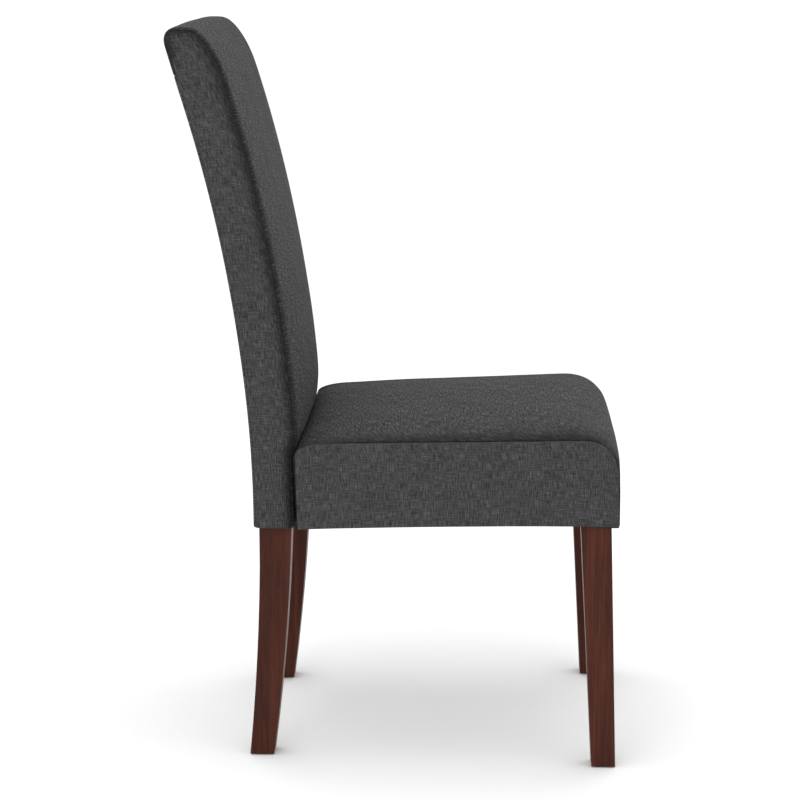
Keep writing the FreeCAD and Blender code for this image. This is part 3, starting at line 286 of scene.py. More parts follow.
def grid_mesh(name, points, shade, flipped):
    """A sheet of quads through a grid of points, with its cloth map and its shade near seams."""
    rows, columns = points.shape[:2]
    mesh = bpy.data.meshes.new(name)
    index = np.arange(rows * columns).reshape(rows, columns)
    faces = np.stack([index[:-1, :-1], index[:-1, 1:], index[1:, 1:], index[1:, :-1]], axis=-1).reshape(-1, 4)
    if flipped:
        faces = faces[:, ::-1]
    mesh.from_pydata(points.reshape(-1, 3).tolist(), [], faces.tolist())
    layer = mesh.uv_layers.new(name="cloth")
    corners = np.empty(len(mesh.loops), dtype=np.int32)
    mesh.loops.foreach_get("vertex_index", corners)
    layer.data.foreach_set("uv", cloth_map(points).reshape(-1, 2)[corners].astype(np.float32).ravel())
    # The seam attribute holds painted shade next to seams, which the cover material darkens by
    attribute = mesh.attributes.new("seam", "FLOAT", "POINT")
    attribute.data.foreach_set("value", shade.astype(np.float32).ravel())
    mesh.polygons.foreach_set("use_smooth", np.ones(len(mesh.polygons), dtype=bool))
    mesh.update()
    thing = bpy.data.objects.new(name, mesh)
    bpy.context.scene.collection.objects.link(thing)
    return thing


# Camera
CAMERA_PLACE = Vector((-3.2639, -0.1184, 1.125))
CAMERA_YAW = math.radians(2.11)
CAMERA_PITCH = math.radians(11.41)
SENSOR_WIDTH = 36.0
PHOTO_WIDTH = 800
FOCAL_PIXELS = 2343.2


def make_camera():
    data = bpy.data.cameras.new("camera")
    data.sensor_width = SENSOR_WIDTH
    data.lens = FOCAL_PIXELS * SENSOR_WIDTH / PHOTO_WIDTH
    camera = bpy.data.objects.new("camera", data)
    bpy.context.scene.collection.objects.link(camera)
    camera.location = CAMERA_PLACE
    camera.rotation_euler = (math.pi / 2 - CAMERA_PITCH, 0.0, CAMERA_YAW - math.pi / 2)
    bpy.context.scene.camera = camera


# Materials
class Nodes:
    """Short calls for building a material's node tree."""

    def __init__(self, name, roughness, specular=0.5, **settings):
        self.material = bpy.data.materials.new(name)
        self.material.use_nodes = True
        self.tree = self.material.node_tree
        self.shader = self.tree.nodes["Principled BSDF"]
        self.set(self.shader, "Roughness", roughness)
        self.set(self.shader, "Specular IOR Level", specular)
        for socket, value in settings.items():
            self.set(self.shader, socket.replace("_", " "), value)

    def feed(self, socket, value):
        if isinstance(value, bpy.types.NodeSocket):
            self.tree.links.new(value, socket)
        else:
            socket.default_value = value

    def set(self, node, socket, value):
        self.feed(node.inputs[socket], value)

    def add(self, kind, **inputs):
        node = self.tree.nodes.new(kind)
        for socket, value in inputs.items():
            self.set(node, socket.replace("_", " "), value)
        return node

    def coordinates(self, kind):
        return self.tree.nodes.new("ShaderNodeTexCoord").outputs[kind]

    def attribute(self, name):
        node = self.tree.nodes.new("ShaderNodeAttribute")
        node.attribute_name = name
        return node.outputs["Fac"]

    def scaled(self, vector, scale):
        return self.add("ShaderNodeMapping", Vector=vector, Scale=scale).outputs["Vector"]

    def noise(self, vector, detail=2.0, roughness=0.5, distortion=0.0):
        node = self.add("ShaderNodeTexNoise", Vector=vector, Scale=1.0, Detail=detail,
                        Roughness=roughness, Distortion=distortion)
        return node.outputs["Fac"]

    def bands(self, vector, axis, scale):
        node = self.add("ShaderNodeTexWave", Vector=vector, Scale=scale, Distortion=0.35, Detail=1.0)
        node.wave_type = "BANDS"
        node.bands_direction = axis
        return node.outputs["Fac"]

    def math(self, operation, first, second):
        node = self.tree.nodes.new("ShaderNodeMath")
        node.operation = operation
        self.feed(node.inputs[0], first)
        self.feed(node.inputs[1], second)
        return node.outputs[0]

    def plus(self, first, second):
        return self.math("ADD", first, second)

    def minus(self, first, second):
        return self.math("SUBTRACT", first, second)

    def times(self, first, second):
        return self.math("MULTIPLY", first, second)

    def off_middle(self, value, factor):
        """How far a value is from one half, times a factor."""
        return self.times(self.minus(value, 0.5), factor)

    def ramp(self, factor, stops):
        node = self.add("ShaderNodeValToRGB", Fac=factor)
        elements = node.color_ramp.elements
        while len(elements) < len(stops):
            elements.new(0.5)
        for element, (place, colour) in zip(elements, stops):
            element.position = place
            element.color = (*colour, 1.0)
        return node.outputs["Color"]

    def span(self, value, low, high, to_low, to_high):
        node = self.add("ShaderNodeMapRange", Value=value, From_Min=low, From_Max=high,
                        To_Min=to_low, To_Max=to_high)
        return node.outputs["Result"]

    def bump(self, height, distance, strength, normal=None):
        node = self.add("ShaderNodeBump", Height=height, Distance=distance, Strength=strength)
        if normal is not None:
            self.set(node, "Normal", normal)
        return node.outputs["Normal"]


# Thread and slub sizes in metres, and noise and grain as waves per metre along each axis
THREAD = 0.0011
BAND_SCALE = 3.1416
SLUB_WIDTH = 0.0013
WARP_SLUB = 0.013
WEFT_SLUB = 0.016
CLOTH_PATCHES = (22.0, 14.0, 1.0)
PATCH_CONTRAST = 0.06
PUCKERS = (60.0, 60.0, 1.0)
PUCKER_DEPTH = 0.0006
YARN_DEPTH = 0.0007
# Painted shade: how far the cloth's tone is lowered next to seams
PAINTED_SHADE_DEPTH = 0.15
COOL_TINT = 1.03
YARN_GREYS = ((0.34, 0.014), (0.43, 0.029), (0.51, 0.051), (0.60, 0.086), (0.72, 0.140))
BROAD_GRAIN = (26.0, 26.0, 2.2)
FINE_GRAIN = (150.0, 150.0, 5.0)
WOOD_PORES = (900.0, 900.0, 26.0)
STAIN_BLOTCHES = (9.0, 9.0, 4.0)
PORE_DEPTH = 0.00012
STAIN_BROWNS = (
    (0.30, (0.024, 0.0060, 0.0035)), (0.45, (0.046, 0.0120, 0.0065)),
    (0.56, (0.070, 0.0185, 0.0095)), (0.72, (0.110, 0.0320, 0.0160)))


def woven_cover(name, warp_share=0.6, contrast=1.0):
    """Plain weave of a marled dark grey yarn. Slubs show along the warp and across it, and painted shade
    darkens it next to seams.
    """
    made = Nodes(name, 0.9, 0.12, Sheen_Weight=0.01, Sheen_Roughness=0.5)
    cloth = made.coordinates("UV")
    warp = made.scaled(cloth, (1 / SLUB_WIDTH, 1 / WARP_SLUB, 1.0))
    weft = made.scaled(cloth, (1 / WEFT_SLUB, 1 / SLUB_WIDTH, 1.0))
    warp_tone = made.noise(warp, detail=3.0, roughness=0.65)
    weft_tone = made.noise(weft, detail=3.0, roughness=0.65)
    patches = made.noise(made.scaled(cloth, CLOTH_PATCHES), detail=3.0)
    tone = made.plus(made.times(warp_tone, warp_share), made.times(weft_tone, 1 - warp_share))
    tone = made.plus(tone, made.off_middle(patches, PATCH_CONTRAST))
    tone = made.plus(made.off_middle(tone, contrast), 0.5)
    # Painted shade next to seams: the tone is lowered by the seam attribute
    shown = made.minus(tone, made.times(made.attribute("seam"), PAINTED_SHADE_DEPTH))
    greys = [(place, (grey, grey, grey * COOL_TINT)) for place, grey in YARN_GREYS]
    made.set(made.shader, "Base Color", made.ramp(shown, greys))
    threads = 1 / THREAD / BAND_SCALE
    weave = made.times(made.bands(cloth, "X", threads), made.bands(cloth, "Y", threads))
    yarn = made.plus(made.times(weave, 0.6), made.times(tone, 1.2))
    puckers = made.noise(made.scaled(cloth, PUCKERS), detail=2.0)
    fine = made.bump(yarn, YARN_DEPTH, 0.75)
    made.set(made.shader, "Normal", made.bump(puckers, PUCKER_DEPTH, 0.5, fine))
    made.set(made.shader, "Roughness", made.span(tone, 0.35, 0.7, 0.82, 0.97))
    return made.material


def stained_wood():
    """Mahogany stain under satin lacquer, with grain along the legs and open pores."""
    made = Nodes("stained_wood", 0.5, 0.10, Coat_Weight=0.05, Coat_Roughness=0.3)
    place = made.coordinates("Object")
    broad = made.noise(made.scaled(place, BROAD_GRAIN), detail=4.0, roughness=0.6, distortion=0.6)
    grain = made.noise(made.scaled(place, FINE_GRAIN), detail=5.0, roughness=0.65, distortion=0.3)
    pores = made.noise(made.scaled(place, WOOD_PORES), detail=2.0, roughness=0.5)
    blotch = made.noise(made.scaled(place, STAIN_BLOTCHES), detail=3.0)
    open_pores = made.span(pores, 0.34, 0.46, 1.0, 0.0)
    tone = made.plus(made.times(broad, 0.45), made.times(grain, 0.55))
    tone = made.plus(tone, made.off_middle(blotch, 0.25))
    tone = made.minus(tone, made.times(open_pores, 0.1))
    made.set(made.shader, "Base Color", made.ramp(tone, STAIN_BROWNS))
    made.set(made.shader, "Roughness", made.span(grain, 0.3, 0.7, 0.33, 0.48))
    height = made.minus(made.times(grain, 0.5), open_pores)
    made.set(made.shader, "Normal", made.bump(height, PORE_DEPTH, 0.6))
    return made.material


def speckled(name, low, high, roughness, scale, depth, stretch=(1.0, 1.0, 1.0), **settings):
    """A noisy two-tone material for what hardly shows: raw wood, foam, webbing and metal."""
    made = Nodes(name, roughness, **settings)
    place = made.coordinates("Object")
    vector = made.scaled(place, tuple(scale * part for part in stretch))
    tone = made.noise(vector, detail=4.0, roughness=0.6)
    rougher = min(roughness * 1.12, 1.0)
    made.set(made.shader, "Base Color", made.ramp(tone, [(0.35, low), (0.65, high)]))
    made.set(made.shader, "Roughness", made.span(tone, 0.3, 0.7, roughness * 0.85, rougher))
    made.set(made.shader, "Normal", made.bump(tone, depth, 0.7))
    return made.material


def dress(thing, material):
    thing.data.materials.clear()
    thing.data.materials.append(material)


# Cloth
CLOTH_FRAMES = 14


def settle(thing, pinned, pressure, limit):
    """Blows a sheet up a little as cloth over its stuffing, with its seams held."""
    group = thing.vertex_groups.new(name="held")
    group.add(pinned, 1.0, "REPLACE")
    scene = bpy.context.scene
    rest = np.array([vertex.co for vertex in thing.data.vertices])
    cloth = thing.modifiers.new("cloth", "CLOTH")
    settings = cloth.settings
    settings.quality = 6
    settings.mass = 0.25
    settings.tension_stiffness = 18.0
    settings.compression_stiffness = 14.0
    settings.shear_stiffness = 8.0
    settings.bending_stiffness = 0.8
    settings.use_pressure = True
    settings.uniform_pressure_force = pressure
    settings.vertex_group_mass = group.name
    settings.pin_stiffness = 1.0
    settings.effector_weights.gravity = 0.0
    cloth.collision_settings.use_collision = False
    cloth.collision_settings.use_self_collision = False
    cloth.point_cache.frame_start = 1
    cloth.point_cache.frame_end = CLOTH_FRAMES
    for number in range(1, CLOTH_FRAMES + 1):
        scene.frame_set(number)
    graph = bpy.context.evaluated_depsgraph_get()
    swollen = thing.evaluated_get(graph).to_mesh()
    moved = np.array([vertex.co for vertex in swollen.vertices]) - rest
    thing.evaluated_get(graph).to_mesh_clear()
    thing.modifiers.remove(cloth)
    scene.frame_set(1)
    length = np.linalg.norm(moved, axis=1, keepdims=True)
    capped = moved * (limit * np.tanh(length / limit) / np.maximum(length, 1e-9))
    thing.data.vertices.foreach_set("co", (rest + capped).astype(np.float32).ravel())
    thing.data.update()


def border(points, rings):
    """Indices of the outer rings of a grid."""
    rows, columns = points.shape[:2]
    index = np.arange(rows * columns).reshape(rows, columns)
    held = np.ones((rows, columns), dtype=bool)
    held[rings:-rings, rings:-rings] = False
    return index[held].tolist()


def finish_panel(thing, material, replaced):
    rounding = thing.modifiers.new("rounding", "SUBSURF")
    rounding.levels = 1
    rounding.render_levels = 1
    dress(thing, material)
    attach(thing, "root")
    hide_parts(*replaced)


# Seat
SEAT_SEAM = seam_depth(SEAT_EDGE)


def seat_place(x, forward, height):
    """Points of the seat's own frame in the chair's frame."""
    y = CONTACT - forward * math.cos(SEAT_TILT) + height * math.sin(SEAT_TILT)
    z = SEAT_BOTTOM + forward * math.sin(SEAT_TILT) + height * math.cos(SEAT_TILT)
    return np.stack(np.broadcast_arrays(x, y, z), axis=-1)


def half_width(forward):
    """The seat widens evenly towards its front."""
    return SEAT_REAR_HALF + (SEAT_FRONT_HALF - SEAT_REAR_HALF) * forward / SEAT_DEPTH


def hem_lift(forward):
    """The lower edge is pulled up a little between the corners."""
    return HEM_ARCH * np.sin(math.pi * np.clip(forward / SEAT_DEPTH, 0, 1)) ** HEM_ARCH_POWER


def seat_centre_line():
    """Forward and height along the middle of the top panel: rear, top, front rounding, front."""
    rear_start = CROWN_TOP - REAR_ROUND[1]
    front_start = CROWN_TOP - FRONT_ROUND[1]
    rear_turn = np.stack([REAR_ROUND[0] * (1 - np.cos(ANGLES)),
                          rear_start + REAR_ROUND[1] * np.sin(ANGLES)], axis=1)
    rear_turn[:, 0] -= REAR_LEAN * np.cos(ANGLES)
    front_turn = np.stack([SEAT_DEPTH - FRONT_ROUND[0] * (1 - np.sin(ANGLES) ** (2 / FRONT_POWER)),
                           front_start + FRONT_ROUND[1] * np.cos(ANGLES) ** (2 / FRONT_POWER)], axis=1)
    heights = np.linspace(front_start, 0.0, 20)
    swell = FRONT_SWELL * np.sin(math.pi * np.clip(heights / SIDE_HEIGHT, 0, 1))
    lines = [np.array([(0.0, 0.0), (-REAR_LEAN, rear_start)]), np.concatenate([rear_turn, front_turn[:1]]),
             front_turn, np.stack([SEAT_DEPTH + swell, heights], axis=1)]
    for line in lines:
        over = np.clip((line[:, 1] - SIDE_HEIGHT) / SEAT_CROWN, 0.0, 1.0)
        line[:, 1] += (line[:, 0] - SEAT_DEPTH / 2) * SEAT_RISE * over
    return lines


def seat_seam_line():
    """Forward and height along the seam between the top panel and a side panel."""
    rear = SEAT_SEAM
    front = SEAT_DEPTH - SEAT_SEAM
    turn = np.stack([front - SEAM_ROUND * (1 - np.sin(ANGLES)),
                     SIDE_HEIGHT - SEAM_ROUND * (1 - np.cos(ANGLES))], axis=1)
    rear_turn = np.stack([rear + REAR_SEAM_ROUND[0] * (1 - np.cos(ANGLES)),
                          SIDE_HEIGHT - REAR_SEAM_ROUND[1] * (1 - np.sin(ANGLES))], axis=1)
    middle = len(ANGLES) // 3
    return [np.concatenate([[(rear, 0.0)], rear_turn[:middle + 1]]),
            np.concatenate([rear_turn[middle:], [(front - SEAM_ROUND, SIDE_HEIGHT)]]),
            turn, np.array([(front, SIDE_HEIGHT - SEAM_ROUND), (front, 0.0)])]


def seat_top_points():
    """The one panel that runs up the rear, over the top and down the front."""
    centre = chain(seat_centre_line(), SEAT_ROWS)
    seam = chain(seat_seam_line(), SEAT_ROWS)
    half = half_width(seam[:, 0]) - SEAT_SEAM
    places = spaced(2 * half.max())
    share = places / places[-1] * 2 - 1
    full = np.sqrt(1 - np.abs(share) ** DOME_POWER)
    x = half[:, None] * share[None, :]
    line = seam[:, None, :] + (centre - seam)[:, None, :] * full[None, :, None]
    forward, height = line[..., 0], line[..., 1]
    wave = ripple(x, forward, SEEDS["seat_top"]) * SEAT_RIPPLE * full
    height = height + wave * smooth(height / SIDE_HEIGHT - SEAT_RIPPLE_START)
    points = seat_place(x, forward, height)
    tuck = np.array([[1.0, 0.0, -TOP_TUCK_DROP], [-1.0, 0.0, -TOP_TUCK_DROP]])
    tucked = points[:, [0, -1]] + tuck * ALLOWANCE * HALF_TURN
    points = np.concatenate([tucked[:, :1], points, tucked[:, 1:]], axis=1)
    return hem_last(points, np.array([0.0, 1.0, 0.0]), SEAT_HEM)


def seat_inward(grid):
    """Direction towards the middle of a side panel, in the chair's y and z."""
    middle = np.array([SEAT_DEPTH / 2, SIDE_HEIGHT / 2])
    away = middle - grid
    away[..., 0] = np.clip(away[..., 0], -TUCK_AIM, TUCK_AIM)
    away /= np.linalg.norm(away, axis=-1, keepdims=True)
    return np.stack([-away[..., 0], away[..., 1]], axis=-1)


def seat_side_points(side):
    """Side panel: rows run up to the seam, columns from the rear to the front."""
    rear, top, turn, front = seat_seam_line()
    middle = len(turn) // 2
    high = np.concatenate([top, turn[1:middle + 1]])
    end = np.concatenate([front[::-1], turn[middle:-1][::-1]])
    low = np.array([rear[0], front[-1]])
    across = spaced(SEAT_DEPTH) / SEAT_DEPTH
    up = spaced(SIDE_HEIGHT, fine_start=False) / SIDE_HEIGHT
    grid = coons(rear, end, low, high, across, up)
    outline = np.concatenate([rear, top[1:], turn[1:], front[1:]])
    distance = distance_to(outline, grid)
    forward, height = grid[..., 0], grid[..., 1]
    wave = ripple(forward, height, SEEDS["seat_side"] + side) * SIDE_RIPPLE
    swell = SIDE_SWELL * np.sin(math.pi * np.clip(height / SIDE_HEIGHT, 0, 1))
    swell = swell + wave * smooth(distance / SIDE_RIPPLE_REACH)
    x = side * (half_width(forward) - draw_in(distance, SEAT_EDGE) + swell)
    raised = height + hem_lift(forward) * (1 - height / SIDE_HEIGHT) ** 2
    points = add_allowance(seat_place(x, forward, raised), side, seat_inward(grid))
    return hem_first(points, np.array([-side, 0.0, 0.0]), SEAT_HEM)


# Back
BACK_SEAM = seam_depth(BACK_EDGE)


def round_draw(below, radii):
    """How far an oval rounding draws a face in, at a distance below its top."""
    share = np.clip(1 - below / radii[1], 0.0, 1.0)
    return radii[0] * (1 - np.sqrt(1 - share ** 2))


def rear_base(height):
    """Y of the plain rear face at a height, and the cosine of its slope."""
    rise = np.clip(height - BACK_BOTTOM, 0.0, BACK_CURVE_RISE)
    flat = np.sqrt(BACK_CURVE ** 2 - rise ** 2)
    beyond = np.clip(height - BACK_BOTTOM - BACK_CURVE_RISE, 0.0, None)
    return BACK_FACE + BACK_CURVE - flat + beyond * rise / flat, flat / BACK_CURVE


def rear_face(height):
    """Y of the rear face, with its slight swell and its rounding into the top."""
    base, _ = rear_base(height)
    rising = smooth((height - BULGE_START) / REAR_SWELL_RISE)
    falling = smooth((BACK_TOP - height) / REAR_SWELL_FALL)
    return base + REAR_SWELL * rising * falling - round_draw(BACK_TOP - height, TOP_REAR_ROUND)


def front_face(height):
    """Y of the front face at its side edge."""
    rear, cosine = rear_base(height)
    forward = smooth((height - BULGE_START) / BULGE_RISE)
    thick = BACK_BASE_THICKNESS + (BACK_THICKNESS - BACK_BASE_THICKNESS) * forward
    return rear - thick / cosine + round_draw(BACK_TOP - height, TOP_FRONT_ROUND)


def front_crown(height):
    """How far the middle of the front face stands proud of its edges."""
    low = LUMBAR_CROWN * smooth((height - BULGE_START) / (LUMBAR_HEIGHT - BULGE_START))
    high = LUMBAR_CROWN + (UPPER_CROWN - LUMBAR_CROWN) * smooth(
        (height - LUMBAR_HEIGHT) / (BACK_TOP - LUMBAR_HEIGHT))
    return np.where(height < LUMBAR_HEIGHT, low, high) * smooth((BACK_TOP - height) / CROWN_FALL)


def back_outline():
    """Y and height up the front face, over the top and down the rear face, evenly spaced."""
    front_turn = BACK_TOP - TOP_FRONT_ROUND[1] * (1 - np.sin(ANGLES))
    rear_turn = BACK_TOP - TOP_REAR_ROUND[1] * (1 - np.cos(ANGLES))
    up = np.concatenate([np.linspace(BACK_BOTTOM, front_turn[0], FACE_POINTS)[:-1], front_turn])
    down = np.concatenate([rear_turn, np.linspace(rear_turn[-1], BACK_BOTTOM, FACE_POINTS)[1:]])
    line = np.concatenate([np.stack([front_face(up), up], axis=1),
                           np.stack([rear_face(down), down], axis=1)])
    return at_shares(line, np.linspace(0, 1, OUTLINE_POINTS))


OUTLINE = back_outline()
INWARD = inward_normals(OUTLINE)
SEAM_LINE = OUTLINE + INWARD * BACK_SEAM
RUN = along(OUTLINE)
TOP_INDEX = int(np.argmax(OUTLINE[:, 1]))
REAR_SEAM_INDEX = TOP_INDEX + nearest_index(OUTLINE[TOP_INDEX:, 1], REAR_SEAM_HEIGHT)
REAR_SEAM_PLACE = RUN[REAR_SEAM_INDEX]


def top_drop(height, across):
    """The top falls away slightly towards its sides."""
    near_top = smooth((height - BACK_TOP + TOP_DROP_REACH) / TOP_DROP_REACH)
    return TOP_SIDE_DROP * near_top * np.abs(across) ** TOP_DROP_POWER


def back_sheet(places, seam_distance, crowned):
    """A panel across the back, with rows at places along the outline and their distances to its seam."""
    line = sampled(OUTLINE, RUN, places)
    inward = sampled(INWARD, RUN, places)
    half = BACK_HALF - BACK_SEAM
    x = spaced(2 * half) - half
    distance = half - np.abs(x)
    across = x / half
    sunk = line[:, None, :] + inward[:, None, :] * draw_in(distance, BACK_EDGE)[None, :, None]
    y, z = sunk[..., 0], sunk[..., 1]
    if crowned:
        faces_front = (inward[:, 0] > 0).astype(float)[:, None]
        y = y - front_crown(line[:, 1])[:, None] * (1 - np.abs(across) ** CROWN_POWER)[None, :] * faces_front
    seed = SEEDS["back_front" if crowned else "back_rear"]
    wave = ripple(x[None, :], places[:, None], seed) * BACK_RIPPLE
    wave = wave * smooth(distance / BACK_RIPPLE_REACH)[None, :]
    y = y - inward[:, :1] * wave
    z = z - inward[:, 1:] * wave - top_drop(z, across)
    points = np.stack([np.broadcast_to(x, y.shape), y, z], axis=-1)
    tuck = np.concatenate([np.zeros((len(places), 1)), inward], axis=1)
    step = ALLOWANCE * HALF_TURN
    first = points[:, 0] + (tuck + np.array([1.0, 0, 0])) * step
    last = points[:, -1] + (tuck + np.array([-1.0, 0, 0])) * step
    points = np.concatenate([first[:, None], points, last[:, None]], axis=1)
    pinch = REAR_SEAM_PINCH * draw_in(seam_distance, REAR_SEAM_EDGE)
    points[..., 1] += (inward[:, 0] * pinch)[:, None]
    return points, inward


def back_front_points():
    """Front panel: up the front, over the top and down to the seam on the rear."""
    places = spaced(REAR_SEAM_PLACE, fine_start=False)
    points, inward = back_sheet(places, REAR_SEAM_PLACE - places, True)
    tucked = points[-1:] + np.array([0.0, inward[-1, 0], 0.0]) * ALLOWANCE
    points = np.concatenate([points, tucked])
    return hem_first(points, np.array([0.0, 1.0, 0.0]), BACK_HEM)


def back_rear_points():
    """Rear panel: from that seam down to the lower edge."""
    steps = spaced(RUN[-1] - REAR_SEAM_PLACE, fine_end=False)
    points, inward = back_sheet(REAR_SEAM_PLACE + steps, steps, False)
    tucked = points[:1] + np.array([0.0, inward[0, 0], 0.0]) * ALLOWANCE
    points = np.concatenate([tucked, points])
    return hem_last(points, np.array([0.0, -1.0, 0.0]), BACK_HEM)


def back_side_points(side):
    """Side panel: rows run up, columns from the front to the rear."""
    front_height = BACK_TOP - TOP_FRONT_ROUND[1] * TOP_CORNER_SHARE
    rear_height = BACK_TOP - TOP_REAR_ROUND[1] * TOP_CORNER_SHARE
    front_corner = nearest_index(OUTLINE[:TOP_INDEX, 1], front_height)
    rear_corner = TOP_INDEX + nearest_index(OUTLINE[TOP_INDEX:, 1], rear_height)
    front = SEAM_LINE[:front_corner + 1]
    top = SEAM_LINE[front_corner:rear_corner + 1]
    rear = SEAM_LINE[rear_corner:][::-1]
    low = np.array([SEAM_LINE[0], SEAM_LINE[-1]])
    across = spaced(BACK_THICKNESS) / BACK_THICKNESS
    length = along(front)[-1]
    up = spaced(length, fine_start=False) / length
    grid = coons(front, rear, low, top, across, up)
    distance = distance_to(SEAM_LINE, grid)
    wave = ripple(grid[..., 0], grid[..., 1], SEEDS["back_side"] + side) * BACK_SIDE_RIPPLE
    wave = wave * smooth(distance / BACK_SIDE_RIPPLE_REACH)
    x = side * (BACK_HALF - draw_in(distance, BACK_EDGE) + wave)
    z = grid[..., 1] - top_drop(grid[..., 1], 1.0)
    points = np.stack([x, grid[..., 0], z], axis=-1)
    inward = np.zeros_like(grid)
    inward[:, :len(across) // 2, 0] = 1.0
    inward[:, len(across) // 2:, 0] = -1.0
    inward[-1, :, 0] *= TOP_CORNER_SHARE
    inward[-1, :, 1] = -1.0
    return hem_first(add_allowance(points, side, inward), np.array([-side, 0.0, 0.0]), BACK_HEM)


# Panels
# Painted shade next to seams: its strength on the seat top and how far it reaches on each panel
SEAT_SHADE = 0.9
SEAT_SHADE_REACH = 0.019
BACK_SHADE_REACH = 0.013
SIDE_SHADE_REACH = 0.0085
SHADED_PAST_TOP = 60
SHADE_STRIDE = 4
STANDS_FOR = {
    "seat_top": ("seat_cover_top", "seat_foam", "seat_wadding", "seat_padding_front"),
    "seat_side_left": ("seat_cover_left", "seat_padding_left"),
    "seat_side_right": ("seat_cover_right", "seat_padding_right"),
    "back_front": ("back_cover_front", "back_foam"),
    "back_rear": ("back_cover_rear", "back_rear_wadding"),
    "back_side_left": ("back_cover_left", "back_padding_left"),
    "back_side_right": ("back_cover_right", "back_padding_right"),
}
# Grids that run the other way round, so that their faces look outwards
FLIPPED = ("seat_top", "seat_side_left", "back_side_right")
PRESSURES = {"seat_top": 2.0, "back_front": 2.0, "back_rear": 1.0}
LEAST_PRESSURE = 1.2
FACINGS = ("seat_top", "back_front", "back_rear")
FACING_WARP_SHARE = 0.3
FACING_CONTRAST = 1.7
MOST_SWELL = 0.0022
HELD_RINGS = 6


def painted_seam_shade(name, points):
    """How much painted shade darkens the cloth next to a seam, from 0 to 1."""
    away = np.abs(points[..., 0])
    if name == "seat_top":
        away = away.max(axis=1, keepdims=True) - ALLOWANCE - away
        return SEAT_SHADE * np.exp(-np.clip(away, 0, None) / SEAT_SHADE_REACH)
    if name == "back_front":
        away = BACK_HALF - BACK_SEAM - away
        return np.exp(-(np.clip(away, 0, None) / BACK_SHADE_REACH) ** 2)
    if name.startswith("back_side"):
        shaded = SEAM_LINE[:TOP_INDEX + SHADED_PAST_TOP:SHADE_STRIDE]
        away = distance_to(shaded, points[..., 1:])
        return np.exp(-(away / SIDE_SHADE_REACH) ** 2)
    return np.zeros(points.shape[:2])


def all_panels():
    """Every panel of the cover by name."""
    panels = {
        "seat_top": seat_top_points(),
        "back_front": back_front_points(),
        "back_rear": back_rear_points(),
    }
    for name, side in SIDES:
        panels[f"seat_side_{name}"] = seat_side_points(side)
        panels[f"back_side_{name}"] = back_side_points(side)
    return panels


def make_cover():
    """Sews the cover from its panels. Facings show their weft and the rest shows its warp."""
    cover = woven_cover("woven_cover")
    facing = woven_cover("woven_facing", FACING_WARP_SHARE, FACING_CONTRAST)
    for name, points in all_panels().items():
        panel = grid_mesh(f"{name}_panel", points, painted_seam_shade(name, points), name in FLIPPED)
        settle(panel, border(points, HELD_RINGS), PRESSURES.get(name, LEAST_PRESSURE), MOST_SWELL)
        finish_panel(panel, facing if name in FACINGS else cover, STANDS_FOR[name])
    return cover


# Studio
FLOOR_REACH = 14.0
FLOOR_PATCHES = (1.2, 1.2, 1.2)
FLOOR_WHITES = ((0.3, (0.955, 0.955, 0.955)), (0.7, (0.965, 0.965, 0.965)))
WORLD_STRENGTH = 1.06
LAMP_AIM = Vector((0.0, 0.0, 0.5))
LAMPS = (
    ("key", (-2.8, 0.5, 2.4), 2.2, 22.0),
    ("top", (0.3, 0.0, 3.4), 2.6, 20.0))


def make_floor():
    reach = FLOOR_REACH
    corners = [(-reach, -reach, 0), (reach, -reach, 0), (reach, reach, 0), (-reach, reach, 0)]
    mesh = bpy.data.meshes.new("floor")
    mesh.from_pydata(corners, [], [(0, 1, 2, 3)])
    floor = bpy.data.objects.new("floor", mesh)
    bpy.context.scene.collection.objects.link(floor)
    made = Nodes("floor_paint", 0.85, 0.2)
    tone = made.noise(made.scaled(made.coordinates("Object"), FLOOR_PATCHES), detail=3.0)
    made.set(made.shader, "Base Color", made.ramp(tone, FLOOR_WHITES))
    dress(floor, made.material)


def make_world():
    world = bpy.data.worlds.new("studio")
    world.use_nodes = True
    background = world.node_tree.nodes["Background"]
    background.inputs["Color"].default_value = (1.0, 1.0, 1.0, 1.0)
    background.inputs["Strength"].default_value = WORLD_STRENGTH
    bpy.context.scene.world = world


def make_lamp(name, place, size, power):
    light = bpy.data.lights.new(name, "AREA")
    light.size = size
    light.energy = power
    lamp = bpy.data.objects.new(name, light)
    bpy.context.scene.collection.objects.link(lamp)
    lamp.location = place
    lamp.rotation_euler = (LAMP_AIM - lamp.location).to_track_quat("-Z", "Y").to_euler()


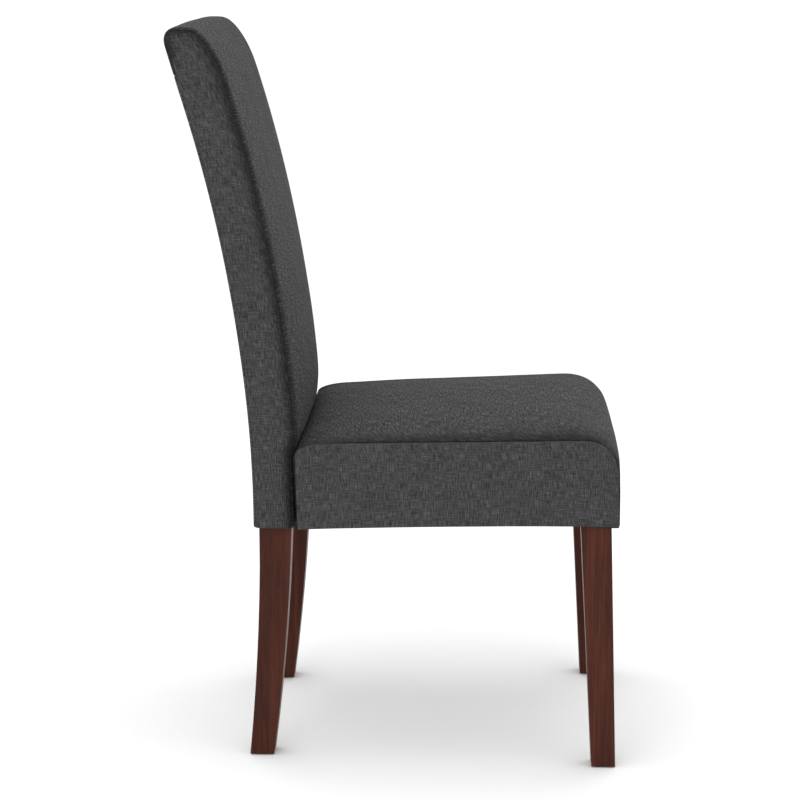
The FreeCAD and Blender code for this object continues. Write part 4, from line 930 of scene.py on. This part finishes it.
def make_studio():
    make_floor()
    make_world()
    for name, place, size, power in LAMPS:
        make_lamp(name, place, size, power)
    view = bpy.context.scene.view_settings
    view.view_transform = "Standard"
    view.exposure = 0.0


# Solids
WORN_EDGE = 0.0016
WORN_EDGE_ANGLE = math.radians(40)


def make_finishes(cover):
    """A material for each slot of the record."""
    raw_wood = speckled("raw_wood", (0.42, 0.27, 0.14), (0.62, 0.44, 0.26), 0.7, 60.0, 0.0003,
                        (0.1, 1.0, 1.0))
    fibre = speckled("fibre_board", (0.30, 0.21, 0.12), (0.42, 0.31, 0.19), 0.85, 300.0, 0.0002)
    webbing = speckled("webbing_weave", (0.03, 0.026, 0.022), (0.09, 0.075, 0.06), 0.85, 800.0, 0.0003)
    black_cloth = speckled("black_cloth", (0.006, 0.006, 0.006), (0.02, 0.02, 0.02), 0.9, 900.0, 0.0002)
    zinc = speckled("zinc_plate", (0.48, 0.48, 0.46), (0.66, 0.66, 0.63), 0.35, 400.0, 0.00005,
                    Metallic=1.0)
    brass = speckled("turned_brass", (0.55, 0.38, 0.14), (0.72, 0.53, 0.24), 0.3, 400.0, 0.00005,
                     Metallic=1.0)
    nylon = speckled("moulded_nylon", (0.02, 0.016, 0.013), (0.035, 0.028, 0.022), 0.45, 500.0, 0.00008)
    return {
        "stained_wood": stained_wood(), "frame_wood": raw_wood, "dowel_wood": raw_wood, "webbing": webbing,
        "staple_wire": zinc, "dust_cloth": black_cloth, "foam": black_cloth, "wadding": black_cloth,
        "woven_cover": cover, "board": fibre, "glide": nylon, "zinc_steel": zinc, "insert_brass": brass}


def wear_edges(thing):
    """Rounds the sharp edges of a leg as sanding leaves them."""
    edges = thing.modifiers.new("edges", "BEVEL")
    edges.width = WORN_EDGE
    edges.segments = 3
    edges.limit_method = "ANGLE"
    edges.angle_limit = WORN_EDGE_ANGLE


def dress_solids(finishes):
    slots = {part["node"]: part["material_slot"] for part in frame["record"]["subparts"]}
    for name, thing in nodes.items():
        if thing.hide_render:
            continue
        dress(thing, finishes[slots[name]])
        if slots[name] == "stained_wood":
            wear_edges(thing)


# Making
make_camera()
make_studio()
dress_solids(make_finishes(make_cover()))
